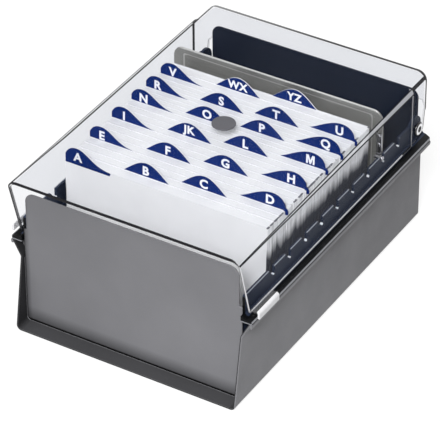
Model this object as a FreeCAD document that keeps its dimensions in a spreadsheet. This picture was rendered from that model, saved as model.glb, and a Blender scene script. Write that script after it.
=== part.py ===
"""Covered tray for index cards: steel tray, ratchet rails, follower, clear cover and guides.

X runs across the tray, Y runs from the open front to the rear, Z is up. The origin is the middle
of the footprint on the table. All sizes are millimetres and live in the sheet named sizes.
"""
import FreeCAD, Part
import os
import re

import Sketcher
from FreeCAD import Placement, Rotation, Vector

SIZES = {
    # steel tray
    "card_side_gap": 4.1,
    "base_length": 164.6,
    "steel": 0.9,
    "wall_top": 36.5,
    "flare_out": 4.9,
    "flare_rise": 7.9,
    "hem_height": 2.2,
    "wall_rake": 6.0,
    "bend_radius": 1.6,
    # rubber pads
    "pad_height": 0.5,
    "pad_radius": 5.0,
    "pad_inset": 13.0,
    # end panels
    "panel_recess": 7.5,
    "rear_inset": 0.2,
    "panel_gap": 0.1,
    "panel_step_rise": 4.3,
    "front_panel_drop": 9.2,
    "front_panel_gap": 1.0,
    "rear_panel_drop": 9.6,
    "rear_panel_gap": 0.4,
    "panel_corner": 4.5,
    "panel_flange": 8.0,
    "panel_foot_gap": 6.5,
    # raised bed under the cards
    "bed_top": 13.75,
    "bed_side_gap": 1.4,
    "bed_foot": 7.0,
    "bed_gap": 0.3,
    # ratchet rails
    "rail_inset": 1.5,
    "rail_thickness": 1.3,
    "rail_rise": 10.7,
    "rail_gap": 0.2,
    "ledge_inset": 0.1,
    "ledge_thickness": 1.2,
    "ledge_slope": 0.6,
    "ledge_fillet": 2.0,
    "ledge_overhang": 1.2,
    "ledge_corner": 2.6,
    "skirt_drop": 14.0,
    "skirt_thickness": 1.1,
    "notch_pitch": 13.8,
    "notch_depth": 4.0,
    "notch_length": 4.5,
    "notch_floor": 1.6,
    "first_notch": 33.1,
    "last_notch_room": 12.0,
    # hinge at the rear
    "hinge_inset": 6.3,
    "hinge_drop": 3.1,
    "ear_radius": 5.6,
    "pin_radius": 1.5,
    "pin_bore": 0.8,
    "pin_fit": 0.03,
    "pin_head_radius": 3.4,
    "pin_head": 1.1,
    "pin_tail_radius": 2.6,
    "pin_tail": 0.7,
    # clear cover
    "cover_side_gap": 1.1,
    "cover_hinge_gap": 0.3,
    "cover_headroom": 0.26,
    "cover_thickness": 1.1,
    "cover_lift": 1.3,
    "cover_setback": 0.8,
    "cover_rake": 8.7,
    "cover_overhang": 3.0,
    "cover_corner": 5.0,
    "cover_rear_corner": 2.5,
    "cover_play": 0.06,
    "joggle_length": 14.6,
    "rear_wall_drop": 16.3,
    "heel_rise": 6.2,
    "heel_slope": 0.9,
    "heel_shoulder": 1.2,
    "grip_length": 16.3,
    "grip_overhang": 0.6,
    "grip_rise": 2.1,
    "grip_drop": 3.7,
    "badge_radius": 5.4,
    "badge_thickness": 0.6,
    # follower
    "follower_room": 2.0,
    "follower_thickness": 1.0,
    "follower_headroom": 1.2,
    "follower_corner": 5.0,
    "follower_gap": 0.3,
    "follower_setback": 0.4,
    "follower_foot": 14.0,
    "emboss_inset": 2.6,
    "emboss_depth": 0.35,
    "emboss_corner": 3.0,
    "spring_width": 2.6,
    "spring_thickness": 0.8,
    "spring_rise": 11.9,
    "latch_radius": 1.2,
    "latch_gap": 0.1,
    "rivet_radius": 0.6,
    "rivet_fit": 0.02,
    "rivet_head_radius": 1.0,
    "rivet_head": 0.45,
    "rivet_pitch": 4.5,
    "rivet_inset": 2.5,
    # cards and guides
    "card_width": 101.6,
    "card_height": 57.15,
    "card_lean": 2.5,
    "card_float": 0.05,
    "guide_thickness": 0.5,
    "first_card": 34.4,
    "first_pack": 1.4,
    "cards_left_by": 0.8,
    "section_gap": 0.5,
    "pitch_row_1": 4.5,
    "pitch_row_2": 4.45,
    "pitch_row_3": 4.05,
    "pitch_row_4": 3.05,
    "pitch_row_5": 3.1,
    "pitch_row_6": 4.9,
    "index_tab_width": 22.7,
    "index_tab_rise": 6.8,
}

# Places worked out from the sizes; a place may use another place.
PLACES = {
    "base_front": "-(base_length + cover_overhang) / 2",
    "base_rear": "(base_length - cover_overhang) / 2",
    "cover_rear": "(base_length + cover_overhang) / 2",
    "cover_front": "base_front + cover_setback",
    "half_tray": "card_width / 2 + card_side_gap + steel",
    "tray_floor": "pad_height + steel",
    "lip_top": "wall_top + flare_rise",
    "panel_half": "half_tray - steel - panel_gap",
    "front_panel_face": "base_front + panel_recess",
    "front_panel_back": "front_panel_face + steel",
    "rear_panel_face": "base_rear - rear_inset - steel",
    "front_panel_half": "rail_in - front_panel_gap",
    "front_panel_top": "cover_top - front_panel_drop",
    "rear_panel_half": "rail_in - rear_panel_gap",
    "rear_panel_top": "cover_top - rear_panel_drop",
    "panel_step": "ledge_root + panel_step_rise",
    "panel_foot_half": "bed_half - bed_foot - panel_foot_gap",
    "bed_half": "panel_half - steel - bed_side_gap",
    "rail_in": "half_tray - rail_inset",
    "rail_out": "rail_in + rail_thickness",
    "rail_top": "ledge_edge + rail_rise",
    "skirt_out": "half_tray - steel - panel_gap",
    "skirt_in": "skirt_out - skirt_thickness",
    "rail_front": "front_panel_back + rail_gap",
    "rail_rear": "rear_panel_face - rail_gap",
    "ledge_in": "half_tray - steel + panel_gap",
    "ledge_out": "half_tray + flare_out - ledge_inset",
    "ledge_edge": "lip_top + ledge_thickness",
    "ledge_root": "ledge_edge + ledge_slope",
    "ledge_front": "base_front + wall_rake",
    "ledge_rear": "base_rear + ledge_overhang",
    "notch_bottom": "rail_top - notch_depth",
    "first_notch_face": "base_front + first_notch",
    "further_notches": "floor((hinge_y - last_notch_room - first_notch_face) / notch_pitch)",
    "cards_rear": "last_card_y + guide_thickness + (card_height + index_tab_rise) * sin(card_lean)",
    "latch_steps": "ceil((cards_rear + follower_room - first_notch_face) / notch_pitch)",
    "latch_notch_face": "first_notch_face + latch_steps * notch_pitch",
    "hinge_y": "base_rear - hinge_inset",
    "hinge_rise": "rail_top - hinge_drop",
    "half_cover": "rail_out + cover_side_gap + cover_thickness",
    "half_cover_rear": "rail_out + cover_hinge_gap + cover_thickness",
    "cover_bottom": "ledge_root + cover_lift",
    "cover_top": "card_rest + (card_height + index_tab_rise) * cos(card_lean) + cover_headroom"
                 " + cover_thickness",
    "joggle_y": "cover_rear - joggle_length",
    "corner_radius": "hinge_rise - cover_bottom",
    "grip_front": "cover_front + cover_rake",
    "grip_top": "cover_bottom + grip_rise",
    "grip_out": "ledge_out + grip_overhang + cover_thickness",
    "follower_face": "latch_notch_face + follower_setback",
    "follower_back": "follower_face + follower_thickness",
    "follower_half": "rail_in - follower_gap",
    "follower_low_half": "skirt_in - follower_gap",
    "follower_bottom": "bed_top + follower_gap",
    "follower_top": "cover_top - cover_thickness - follower_headroom",
    "spring_top": "latch_z + spring_rise",
    "spring_face": "follower_face - spring_thickness",
    "latch_y": "latch_notch_face - latch_radius - latch_gap",
    "latch_ramp": "notch_length - notch_floor",
    "latch_seat": "((latch_radius + latch_gap) * (sqrt(notch_depth ^ 2 + latch_ramp ^ 2)"
                  " + notch_depth) - notch_floor * notch_depth) / latch_ramp",
    "latch_z": "notch_bottom + max(latch_radius + latch_gap; latch_seat)",
    "rivet_x": "follower_half - rivet_inset / 2 - latch_gap",
    "card_rest": "bed_top + card_float + (pitch_row_1 + first_pack) * sin(card_lean)",
    "first_card_y": "base_front + first_card",
}

GUIDE_ROWS = [
    ["a", "b", "c", "d"],
    ["e", "f", "g", "h"],
    ["i", "jk", "l", "m"],
    ["n", "o", "p", "q"],
    ["r", "s", "t", "u"],
    ["v", "wx", "yz"],
]

# Each index tab as (start of its flat top, end of its flat top, corner radius left, right),
# the first two as shares of the tab's width and the radii as shares of its rise.
TAB_SHAPES = [
    (0.0, 0.32, 0.36, 1.2),
    (0.28, 0.64, 1.0, 1.0),
    (0.28, 0.64, 1.0, 1.0),
    (0.50, 0.86, 1.2, 0.5),
]

FIRST_GUIDE = GUIDE_ROWS[0][0]
LAST_GUIDE = GUIDE_ROWS[-1][-1]
WORD = re.compile(r"[a-z_][a-z0-9_]*")
SIDES = {"left": "-1", "right": "1"}
RIVETS_PER_SPRING = 2
BEYOND = 5.0        # how far a cutting shape reaches past what it cuts

doc = FreeCAD.newDocument("card_tray")
sheet = doc.addObject("Spreadsheet::Sheet", "sizes")
exports = []


# ---------------------------------------------------------------- sizes and formulas
def guide_spots():
    """Each guide's name, column, front face and distance to the next, from the front."""
    y = "first_card_y"
    for row, names in enumerate(GUIDE_ROWS, start=1):
        for column, name in enumerate(names):
            pitch = f"pitch_row_{row}"
            if name == FIRST_GUIDE:
                pitch += " + first_pack"
            yield name, column, y, pitch
            y += f" + {pitch}"


def fill_sheet():
    """Write each size to a row of the sheet and give its cell the size's name."""
    for row, (alias, size) in enumerate(SIZES.items(), start=1):
        sheet.set(f"A{row}", alias)
        sheet.set(f"B{row}", str(size))
        sheet.setAlias(f"B{row}", alias)
    doc.recompute()


def formula(text):
    """Spell out a formula for the document: sizes point at the sheet, places are expanded."""
    def spell(match):
        word = match.group(0)
        if word in PLACES:
            return f"({formula(PLACES[word])})"
        return f"sizes.{word}" if word in SIZES else word
    return WORD.sub(spell, str(text))


def number(text):
    """The present value of a formula."""
    return float(sheet.evalExpression(formula(text)))


def bind(feature, **formulas):
    """Tie properties of a feature to formulas."""
    for name, text in formulas.items():
        feature.setExpression(name, formula(text))


def bind_place(feature, x="0", y="0", z="0"):
    """Tie the position of a feature to formulas."""
    for axis, text in zip("xyz", (x, y, z)):
        feature.setExpression(f"Placement.Base.{axis}", formula(text))


# ---------------------------------------------------------------- Part shapes
def box(name, x, y, z):
    """A block between pairs of formulas along each axis."""
    block = doc.addObject("Part::Box", name)
    bind(block, Length=f"({x[1]}) - ({x[0]})", Width=f"({y[1]}) - ({y[0]})",
         Height=f"({z[1]}) - ({z[0]})")
    bind_place(block, x[0], y[0], z[0])
    return block


def rod(name, axis, start, end, centre, radius):
    """A round bar along X, Y or Z from start to end, its centre given by two formulas."""
    bar = doc.addObject("Part::Cylinder", name)
    turn = {"x": Rotation(Vector(0, 1, 0), 90), "y": Rotation(Vector(-1, 0, 0), 90),
            "z": Rotation()}[axis]
    bar.Placement = Placement(Vector(), turn)
    bind(bar, Radius=radius, Height=f"({end}) - ({start})")
    first, second = centre
    base = {"x": (start, first, second), "y": (first, start, second),
            "z": (first, second, start)}[axis]
    bind_place(bar, *base)
    return bar


def fuse(name, *shapes):
    joined = doc.addObject("Part::MultiFuse", name)
    joined.Shapes = list(shapes)
    joined.Refine = True
    return joined


def cut(name, base, *tools):
    """Take every tool away from the base."""
    tool = tools[0] if len(tools) == 1 else fuse(f"{name}_tools", *tools)
    result = doc.addObject("Part::Cut", name)
    result.Base = base
    result.Tool = tool
    result.Refine = True
    return result


def compound(name, shapes):
    group = doc.addObject("Part::Compound", name)
    group.Links = list(shapes)
    return group


def round_edges(name, base, radii):
    """Round the edges of a Part shape; radii holds (test of an edge, radius) pairs."""
    doc.recompute()
    picks = []
    for index, edge in enumerate(base.Shape.Edges, start=1):
        for chosen, radius in radii:
            if chosen(edge):
                picks.append((index, radius, radius))
                break
    rounded = doc.addObject("Part::Fillet", name)
    rounded.Base = base
    rounded.Edges = picks
    return rounded


# ---------------------------------------------------------------- edge tests
def near(a, b):
    return abs(a - b) < 1e-4


def runs(edge, axis):
    """Whether an edge is straight along an axis: 0, 1 or 2."""
    first, last = edge.Vertexes[0].Point, edge.Vertexes[-1].Point
    return all(near(first[k], last[k]) for k in range(3) if k != axis)


def along_y(x, z):
    """A test for straight edges along Y at |x| and z."""
    def chosen(edge):
        point = edge.Vertexes[0].Point
        return runs(edge, 1) and near(abs(point.x), x) and near(point.z, z)
    return chosen


# ---------------------------------------------------------------- PartDesign features
def new_body(label):
    return doc.addObject("PartDesign::Body", label)


def origin_part(body, role):
    """A plane or an axis of the body's origin."""
    return next(part for part in body.Origin.OriginFeatures if part.Role == role)


def sketch(body, name, plane, offset):
    """An empty sketch on a plane of the body's origin, moved toward +X, +Y or +Z."""
    outline = body.newObject("Sketcher::SketchObject", name)
    outline.AttachmentSupport = [(origin_part(body, f"{plane}_Plane"), "")]
    outline.MapMode = "FlatFace"
    sign = "-" if plane == "XZ" else ""
    outline.setExpression("AttachmentOffset.Base.z", f"{sign}({formula(offset)})")
    return outline


def tie_point(outline, geometry, point, spot):
    """Tie one point of a sketch's geometry to a pair of formulas."""
    for kind, text in zip(("DistanceX", "DistanceY"), spot):
        rule = Sketcher.Constraint(kind, -1, 1, geometry, point, number(text))
        place = outline.addConstraint(rule)
        outline.setExpression(f"Constraints[{place}]", formula(text))


def drawing(body, name, plane, offset, corners):
    """A closed outline of straight edges, with every corner tied to formulas."""
    outline = sketch(body, name, plane, offset)
    spots = [Vector(number(a), number(b), 0) for a, b in corners]
    count = len(spots)
    for index, spot in enumerate(spots):
        outline.addGeometry(Part.LineSegment(spot, spots[(index + 1) % count]), False)
    for index in range(count):
        outline.addConstraint(Sketcher.Constraint("Coincident", index, 2, (index + 1) % count, 1))
    for index, corner in enumerate(corners):
        tie_point(outline, index, 1, corner)
    return outline


def ring(body, name, plane, offset, centre, radius):
    """A circle with its centre and radius tied to formulas."""
    outline = sketch(body, name, plane, offset)
    middle = Vector(number(centre[0]), number(centre[1]), 0)
    outline.addGeometry(Part.Circle(middle, Vector(0, 0, 1), number(radius)), False)
    tie_point(outline, 0, 3, centre)
    place = outline.addConstraint(Sketcher.Constraint("Radius", 0, number(radius)))
    outline.setExpression(f"Constraints[{place}]", formula(radius))
    return outline


def pad(body, outline, length):
    """Thicken an outline toward +X, +Y or +Z."""
    feature = body.newObject("PartDesign::Pad", f"{outline.Name}_pad")
    feature.Profile = outline
    feature.Reversed = outline.AttachmentSupport[0][0].Role == "XZ_Plane"
    bind(feature, Length=length)
    body.Tip = feature
    return feature


def pocket(body, outline, depth):
    """Cut an outline away toward +X, +Y or +Z."""
    feature = body.newObject("PartDesign::Pocket", f"{outline.Name}_pocket")
    feature.Profile = outline
    feature.Reversed = outline.AttachmentSupport[0][0].Role != "XZ_Plane"
    bind(feature, Length=depth)
    body.Tip = feature
    return feature


def fillet(body, chosen, radius):
    """Round the edges of the body that pass a test."""
    doc.recompute()
    sharp = body.Tip
    names = [f"Edge{index}" for index, edge in enumerate(sharp.Shape.Edges, start=1)
             if chosen(edge)]
    feature = body.newObject("PartDesign::Fillet", f"{body.Name}_round")
    feature.Base = (sharp, names)
    bind(feature, Radius=radius)
    body.Tip = feature
    return feature


def mirrored(right):
    """Close a symmetric outline from the corners of its right half."""
    return right + [(f"-({x})", z) for x, z in reversed(right)]


def rectangle(x, z):
    return [(x[0], z[0]), (x[1], z[0]), (x[1], z[1]), (x[0], z[1])]


def span(side, inner, outer):
    """A span along X on one side of the tray, its lower end first."""
    if side == "right":
        return inner, outer
    return f"-({outer})", f"-({inner})"


def keep(feature, label):
    """Name a finished sub-part for export."""
    feature.Label = label
    exports.append(feature)
    return feature


# ---------------------------------------------------------------- tray
def make_shell():
    """One bent sheet: bottom, two walls, and lips that flare out to a hem."""
    body = new_body("shell")
    hem_x = "half_tray + (flare_out - steel) * (flare_rise - hem_height) / flare_rise"
    section = mirrored([
        ("half_tray", "pad_height"),
        ("half_tray", "wall_top"),
        (hem_x, "lip_top - hem_height"),
        (f"{hem_x} + steel", "lip_top - hem_height"),
        ("half_tray + flare_out", "lip_top"),
        ("half_tray + flare_out - 2 * steel", "lip_top"),
        ("half_tray - steel", "wall_top"),
        ("half_tray - steel", "tray_floor"),
    ])
    pad(body, drawing(body, "shell_section", "XZ", "base_front", section), "base_length")
    across = f"2 * (half_tray + flare_out + {BEYOND})"
    rake = [
        ("base_front", "tray_floor"),
        ("base_front + wall_rake", "wall_top"),
        ("base_front + wall_rake", f"lip_top + {BEYOND}"),
        (f"base_front - {BEYOND}", f"lip_top + {BEYOND}"),
        (f"base_front - {BEYOND}", "tray_floor"),
    ]
    fillet(body, along_y(number("half_tray - steel"), number("tray_floor")), "bend_radius")
    fillet(body, along_y(number("half_tray"), number("pad_height")), "bend_radius + steel")
    pocket(body, drawing(body, "shell_rake", "YZ", f"-({across}) / 2", rake), across)
    return keep(body, "shell")


def make_panel(end, inward):
    """An end panel: stepped plate with rounded top corners, side flanges and a foot flange."""
    label = f"{end}_panel"
    face = f"{label}_face"
    half = f"{label}_half"
    top = f"{label}_top"
    body = new_body(label)
    outline = mirrored([
        ("panel_half", "tray_floor"),
        ("panel_half", "panel_step"),
        (half, "panel_step"),
        (half, top),
    ])
    pad(body, drawing(body, f"{label}_plate", "XZ", face, outline), "steel")
    start = f"{face} + steel" if inward == "rear" else f"{face} - panel_flange"
    foot = rectangle(("-(panel_foot_half)", "panel_foot_half"), ("tray_floor", "tray_floor + steel"))
    pad(body, drawing(body, f"{label}_foot", "XZ", start, foot), "panel_flange")
    for side, sign in SIDES.items():
        strip = rectangle((f"{sign} * (panel_half - steel)", f"{sign} * panel_half"),
                          ("tray_floor + 2 * bend_radius", "lip_top - skirt_drop - bend_radius"))
        pad(body, drawing(body, f"{label}_{side}", "XZ", start, strip), "panel_flange")
    fillet(body, along_y(number(half), number(top)), "panel_corner")
    fillet(body, along_y(number("panel_half"), number("tray_floor")), "bend_radius + panel_gap")
    return keep(body, label)


def make_bed():
    """A raised channel on which the cards stand, with feet turned in on the tray's bottom."""
    body = new_body("card_bed")
    section = mirrored([
        ("bed_half - bed_foot", "tray_floor"),
        ("bed_half", "tray_floor"),
        ("bed_half", "bed_top"),
    ])
    inside = mirrored([
        ("bed_half - bed_foot", "tray_floor + steel"),
        ("bed_half - steel", "tray_floor + steel"),
        ("bed_half - steel", "bed_top - steel"),
    ])
    start = "front_panel_back + bed_gap"
    length = "rear_panel_face - front_panel_back - 2 * bed_gap"
    slot = rectangle(("-(bed_half - bed_foot)", "bed_half - bed_foot"),
                     ("tray_floor", "tray_floor + 2 * steel"))
    pad(body, drawing(body, "bed_section", "XZ", start, section), length)
    pocket(body, drawing(body, "bed_inside", "XZ", start, inside), length)
    pocket(body, drawing(body, "bed_slot", "XZ", start, slot), length)
    fillet(body, along_y(number("bed_half"), number("bed_top")), "bend_radius")
    return keep(body, "card_bed")


def make_rail(side):
    """A toothed wall over a skirt, and a ledge that covers the flare of the steel wall."""
    sign = SIDES[side]
    body = new_body(f"ratchet_rail_{side}")
    wall = [
        (f"{sign} * rail_in", "rail_top"),
        (f"{sign} * rail_out", "rail_top"),
        (f"{sign} * rail_out", "lip_top"),
        (f"{sign} * skirt_out", "lip_top"),
        (f"{sign} * skirt_out", "lip_top - skirt_drop"),
        (f"{sign} * skirt_in", "lip_top - skirt_drop"),
        (f"{sign} * skirt_in", "ledge_edge"),
        (f"{sign} * rail_in", "ledge_edge"),
    ]
    ledge = [
        (f"{sign} * ledge_in", "lip_top"),
        (f"{sign} * ledge_out", "lip_top"),
        (f"{sign} * ledge_out", "ledge_edge"),
        (f"{sign} * ledge_in", "ledge_root"),
    ]
    pad(body, drawing(body, f"wall_{side}", "XZ", "rail_front", wall), "rail_rear - rail_front")
    pad(body, drawing(body, f"ledge_{side}", "XZ", "ledge_front", ledge),
        "ledge_rear - ledge_front")
    inner_x = span(side, "rail_in", "rail_out")[0]
    pivot = ("hinge_y", "hinge_rise")
    pad(body, ring(body, f"ear_{side}", "YZ", inner_x, pivot, "ear_radius"), "rail_thickness")
    pocket(body, ring(body, f"bore_{side}", "YZ", inner_x, pivot, "pin_radius + pin_fit"),
           "rail_thickness")
    tooth_gap = [
        ("first_notch_face", f"rail_top + {BEYOND}"),
        ("first_notch_face", "notch_bottom"),
        ("first_notch_face - notch_floor", "notch_bottom"),
        ("first_notch_face - notch_length", "rail_top"),
        ("first_notch_face - notch_length", f"rail_top + {BEYOND}"),
    ]
    gap = pocket(body, drawing(body, f"notch_{side}", "YZ", inner_x, tooth_gap),
                 "rail_thickness")
    row = body.newObject("PartDesign::LinearPattern", f"notches_{side}")
    row.Originals = [gap]
    row.Direction = (origin_part(body, "Y_Axis"), [""])
    bind(row, Length="further_notches * notch_pitch", Occurrences="further_notches + 1")
    body.Tip = row
    root_x = number("rail_out")
    corner_x = number("ledge_out")
    corner_y = number("ledge_rear")

    def ledge_root(edge):
        point = edge.Vertexes[0].Point
        level = number("ledge_edge") < point.z < number("ledge_root")
        return runs(edge, 1) and near(abs(point.x), root_x) and level

    def rear_corner(edge):
        point = edge.Vertexes[0].Point
        return runs(edge, 2) and near(abs(point.x), corner_x) and near(point.y, corner_y)

    fillet(body, ledge_root, "ledge_fillet")
    fillet(body, rear_corner, "ledge_corner")
    return keep(body, f"ratchet_rail_{side}")


def make_hinge_pin(side):
    """A hollow rivet: tail inside the rail, shank through rail and cover, domed head outside."""
    sign = SIDES[side]
    body = new_body(f"hinge_pin_{side}")
    head = "half_cover_rear + 2 * pin_fit"
    section = [
        (f"{sign} * (rail_in - pin_fit - pin_tail)", "pin_bore"),
        (f"{sign} * (rail_in - pin_fit - pin_tail)", "pin_tail_radius"),
        (f"{sign} * (rail_in - pin_fit)", "pin_tail_radius"),
        (f"{sign} * (rail_in - pin_fit)", "pin_radius"),
        (f"{sign} * ({head})", "pin_radius"),
        (f"{sign} * ({head})", "pin_head_radius"),
        (f"{sign} * ({head} + pin_head / 2)", "pin_head_radius"),
        (f"{sign} * ({head} + pin_head)", "pin_head_radius - pin_head / 2"),
        (f"{sign} * ({head} + pin_head)", "pin_bore"),
    ]
    outline = drawing(body, f"pin_section_{side}", "XZ", "0", section)
    turned = body.newObject("PartDesign::Revolution", f"pin_{side}")
    turned.Profile = outline
    turned.ReferenceAxis = (outline, ["H_Axis"])
    turned.Angle = 360.0
    body.Tip = turned
    bind_place(body, y="hinge_y", z="hinge_rise")
    return keep(body, f"hinge_pin_{side}")


def make_pads():
    """Four thin rubber pads under the corners of the tray's bottom."""
    pads = []
    for end, y in (("front", "base_front + pad_inset"), ("rear", "base_rear - pad_inset")):
        for side, sign in SIDES.items():
            centre = (f"{sign} * (half_tray - pad_inset)", y)
            pads.append(rod(f"pad_{end}_{side}", "z", "0", "pad_height", centre, "pad_radius"))
    return keep(compound("foot_pads", pads), "foot_pads")


# ---------------------------------------------------------------- cover
def hood_block(name, half, y, z, corner, rear_corner=None):
    """A block of the hood's section, its long top edges rounded, and its rear if asked."""
    block = box(name, (f"-({half})", half), y, z)
    rear = number(y[1])
    bottom = number(z[0])

    def on_rear(edge):
        at_rear = all(near(corner.Point.y, rear) for corner in edge.Vertexes)
        return at_rear and not near(edge.BoundBox.ZMax, bottom)

    radii = [(along_y(number(half), number(z[1])), number(corner))]
    if rear_corner:
        radii.append((on_rear, number(rear_corner)))
    return round_edges(f"{name}_rounded", block, radii)


def side_prism(name, corners, half):
    """A profile in the YZ plane thickened evenly to both sides of the middle."""
    body = new_body(name)
    pad(body, drawing(body, f"{name}_outline", "YZ", f"-({half})", corners), f"2 * ({half})")
    return body


def make_cover():
    """A clear hood, open in front and below, stepped near the rear, with two finger grips."""
    wide = f"half_cover + {BEYOND}"
    outside = ("cover_bottom", "cover_top")
    inside = (f"cover_bottom - {BEYOND}", "cover_top - cover_thickness")
    inside_corner = "cover_corner - cover_thickness"
    main = hood_block("hood_main", "half_cover", ("cover_front", "joggle_y"), outside,
                      "cover_corner")
    rear = hood_block("hood_rear", "half_cover_rear", ("joggle_y - cover_thickness", "cover_rear"),
                      outside, "cover_corner", "cover_rear_corner")
    main_hollow = hood_block("hood_main_hollow", "half_cover - cover_thickness",
                             (f"cover_front - {BEYOND}", "joggle_y - cover_thickness"),
                             inside, inside_corner)
    rear_hollow = hood_block("hood_rear_hollow", "half_cover_rear - cover_thickness",
                             ("joggle_y - 2 * cover_thickness", "cover_rear - cover_thickness"),
                             inside, inside_corner)
    rake = side_prism("hood_rake", [
        (f"cover_front - {BEYOND}", f"cover_bottom - {BEYOND}"),
        ("grip_front", f"cover_bottom - {BEYOND}"),
        ("grip_front", "cover_bottom"),
        ("cover_front", "cover_top"),
        (f"cover_front - {BEYOND}", "cover_top"),
    ], wide)
    below = side_prism("hood_rear_below", [
        ("hinge_y", f"cover_bottom - {BEYOND}"),
        (f"cover_rear + {BEYOND}", f"cover_bottom - {BEYOND}"),
        (f"cover_rear + {BEYOND}", "hinge_rise + heel_rise + heel_shoulder"),
        ("cover_rear", "hinge_rise + heel_rise + heel_shoulder"),
        ("hinge_y + corner_radius + heel_slope", "hinge_rise + heel_rise"),
        ("hinge_y + corner_radius", "hinge_rise"),
        ("hinge_y", "hinge_rise"),
    ], wide)
    corner = rod("hood_corner", "x", f"-({wide}) - {BEYOND}", f"{wide} + {BEYOND}",
                 ("hinge_y", "hinge_rise"), "corner_radius")
    heel = cut("hood_heel", below, corner)
    doorway = box("hood_doorway",
                  ("-(half_cover_rear - cover_thickness)", "half_cover_rear - cover_thickness"),
                  ("cover_rear - 2 * cover_thickness", f"cover_rear + {BEYOND}"),
                  (f"cover_bottom - {BEYOND}", "cover_top - rear_wall_drop"))
    bore = rod("hood_bore", "x", f"-({wide})", wide, ("hinge_y", "hinge_rise"),
               "pin_radius + cover_play")
    hood = cut("hood", fuse("hood_solid", main, rear), main_hollow, rear_hollow, rake, heel,
               doorway, bore)
    along = ("grip_front", "grip_front + grip_length")
    grips = []
    for side in SIDES:
        flange_x = span(side, "half_cover - cover_thickness", "grip_out")
        lip_x = span(side, "grip_out - cover_thickness", "grip_out")
        grips.append(box(f"grip_flange_{side}", flange_x, along,
                         ("grip_top - cover_thickness", "grip_top")))
        grips.append(box(f"grip_lip_{side}", lip_x, along, ("grip_top - grip_drop", "grip_top")))
    return keep(fuse("cover", hood, *grips), "cover")


def make_badge():
    """A plain round disc on top of the cover."""
    middle = ("0", "(cover_front + cover_rear) / 2")
    badge = rod("badge", "z", "cover_top", "cover_top + badge_thickness", middle, "badge_radius")
    return keep(badge, "badge")


# ---------------------------------------------------------------- follower
def rivet_spots():
    """Where the springs are riveted, as (name, x, z) formulas."""
    for side, sign in SIDES.items():
        for level in range(RIVETS_PER_SPRING):
            height = f"spring_top - rivet_inset / 2 - {level} * rivet_pitch"
            yield f"{side}_{level + 1}", f"{sign} * rivet_x", height


def make_follower():
    """An embossed plate that stands across the tray, with a foot that slides on the bed."""
    body = new_body("follower_plate")
    plate = mirrored([
        ("follower_low_half", "follower_bottom"),
        ("follower_low_half", "ledge_edge + follower_gap"),
        ("follower_half", "ledge_edge + follower_gap"),
        ("follower_half", "follower_top"),
    ])
    pad(body, drawing(body, "follower_outline", "XZ", "follower_face", plate),
        "follower_thickness")
    foot_half = "follower_low_half - bend_radius"
    foot = rectangle((f"-({foot_half})", foot_half),
                     ("follower_bottom", "follower_bottom + follower_thickness"))
    pad(body, drawing(body, "follower_foot_section", "XZ", "follower_back", foot),
        "follower_foot")
    fillet(body, along_y(number("follower_half"), number("follower_top")), "follower_corner")
    inner = "follower_half - spring_width - emboss_inset"
    field = rectangle((f"-({inner})", inner),
                      ("bed_top + emboss_inset", "follower_top - emboss_inset"))
    pocket(body, drawing(body, "follower_field", "XZ", "follower_face", field), "emboss_depth")
    fillet(body, along_y(number(inner), number("follower_top - emboss_inset")), "emboss_corner")
    for name, x, z in rivet_spots():
        hole = ring(body, f"plate_hole_{name}", "XZ", "follower_face", (x, z),
                    "rivet_radius + rivet_fit")
        pocket(body, hole, "follower_thickness")
    return keep(body, "follower_plate")


def make_spring(side):
    """A flat spring on the follower's edge, with a round latch foot over the rail."""
    arm_x = span(side, "rivet_x - spring_width / 2", "rivet_x + spring_width / 2")
    latch_x = span(side, "rivet_x - spring_width / 2", "rail_out + latch_gap")
    arm = box(f"spring_arm_{side}", arm_x, ("spring_face", "follower_face"),
              ("latch_z - latch_radius", "spring_top"))
    latch = rod(f"spring_latch_{side}", "x", *latch_x, ("latch_y", "latch_z"), "latch_radius")
    holes = [rod(f"spring_hole_{name}", "y", f"spring_face - {BEYOND}",
                 f"follower_face + {BEYOND}", (x, z), "rivet_radius + rivet_fit")
             for name, x, z in rivet_spots() if name.startswith(side)]
    solid = fuse(f"spring_solid_{side}", arm, latch)
    return keep(cut(f"follower_spring_{side}", solid, *holes), f"follower_spring_{side}")


def make_rivets():
    """The rivets of both springs: a shank with a head at each end."""
    rivets = []
    for name, x, z in rivet_spots():
        shank = rod(f"shank_{name}", "y", "spring_face", "follower_back", (x, z), "rivet_radius")
        head = rod(f"head_{name}", "y", "spring_face - rivet_head", "spring_face", (x, z),
                   "rivet_head_radius")
        tail = rod(f"tail_{name}", "y", "follower_back", "follower_back + rivet_head", (x, z),
                   "rivet_head_radius")
        rivets.append(fuse(f"rivet_{name}", shank, head, tail))
    return keep(compound("follower_rivets", rivets), "follower_rivets")


# ---------------------------------------------------------------- cards
def lean_back(feature):
    """Lean a feature back from the vertical by the cards' lean."""
    feature.Placement = Placement(Vector(), Rotation(Vector(-1, 0, 0), SIZES["card_lean"]))
    feature.setExpression("Placement.Rotation.Angle", formula("card_lean"))


def tab_left(column):
    """Left end of the index tab of a column, the last one flush with the card's right edge."""
    last = len(TAB_SHAPES) - 1
    return f"-card_width / 2 + {column} * (card_width - index_tab_width) / {last}"


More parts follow.
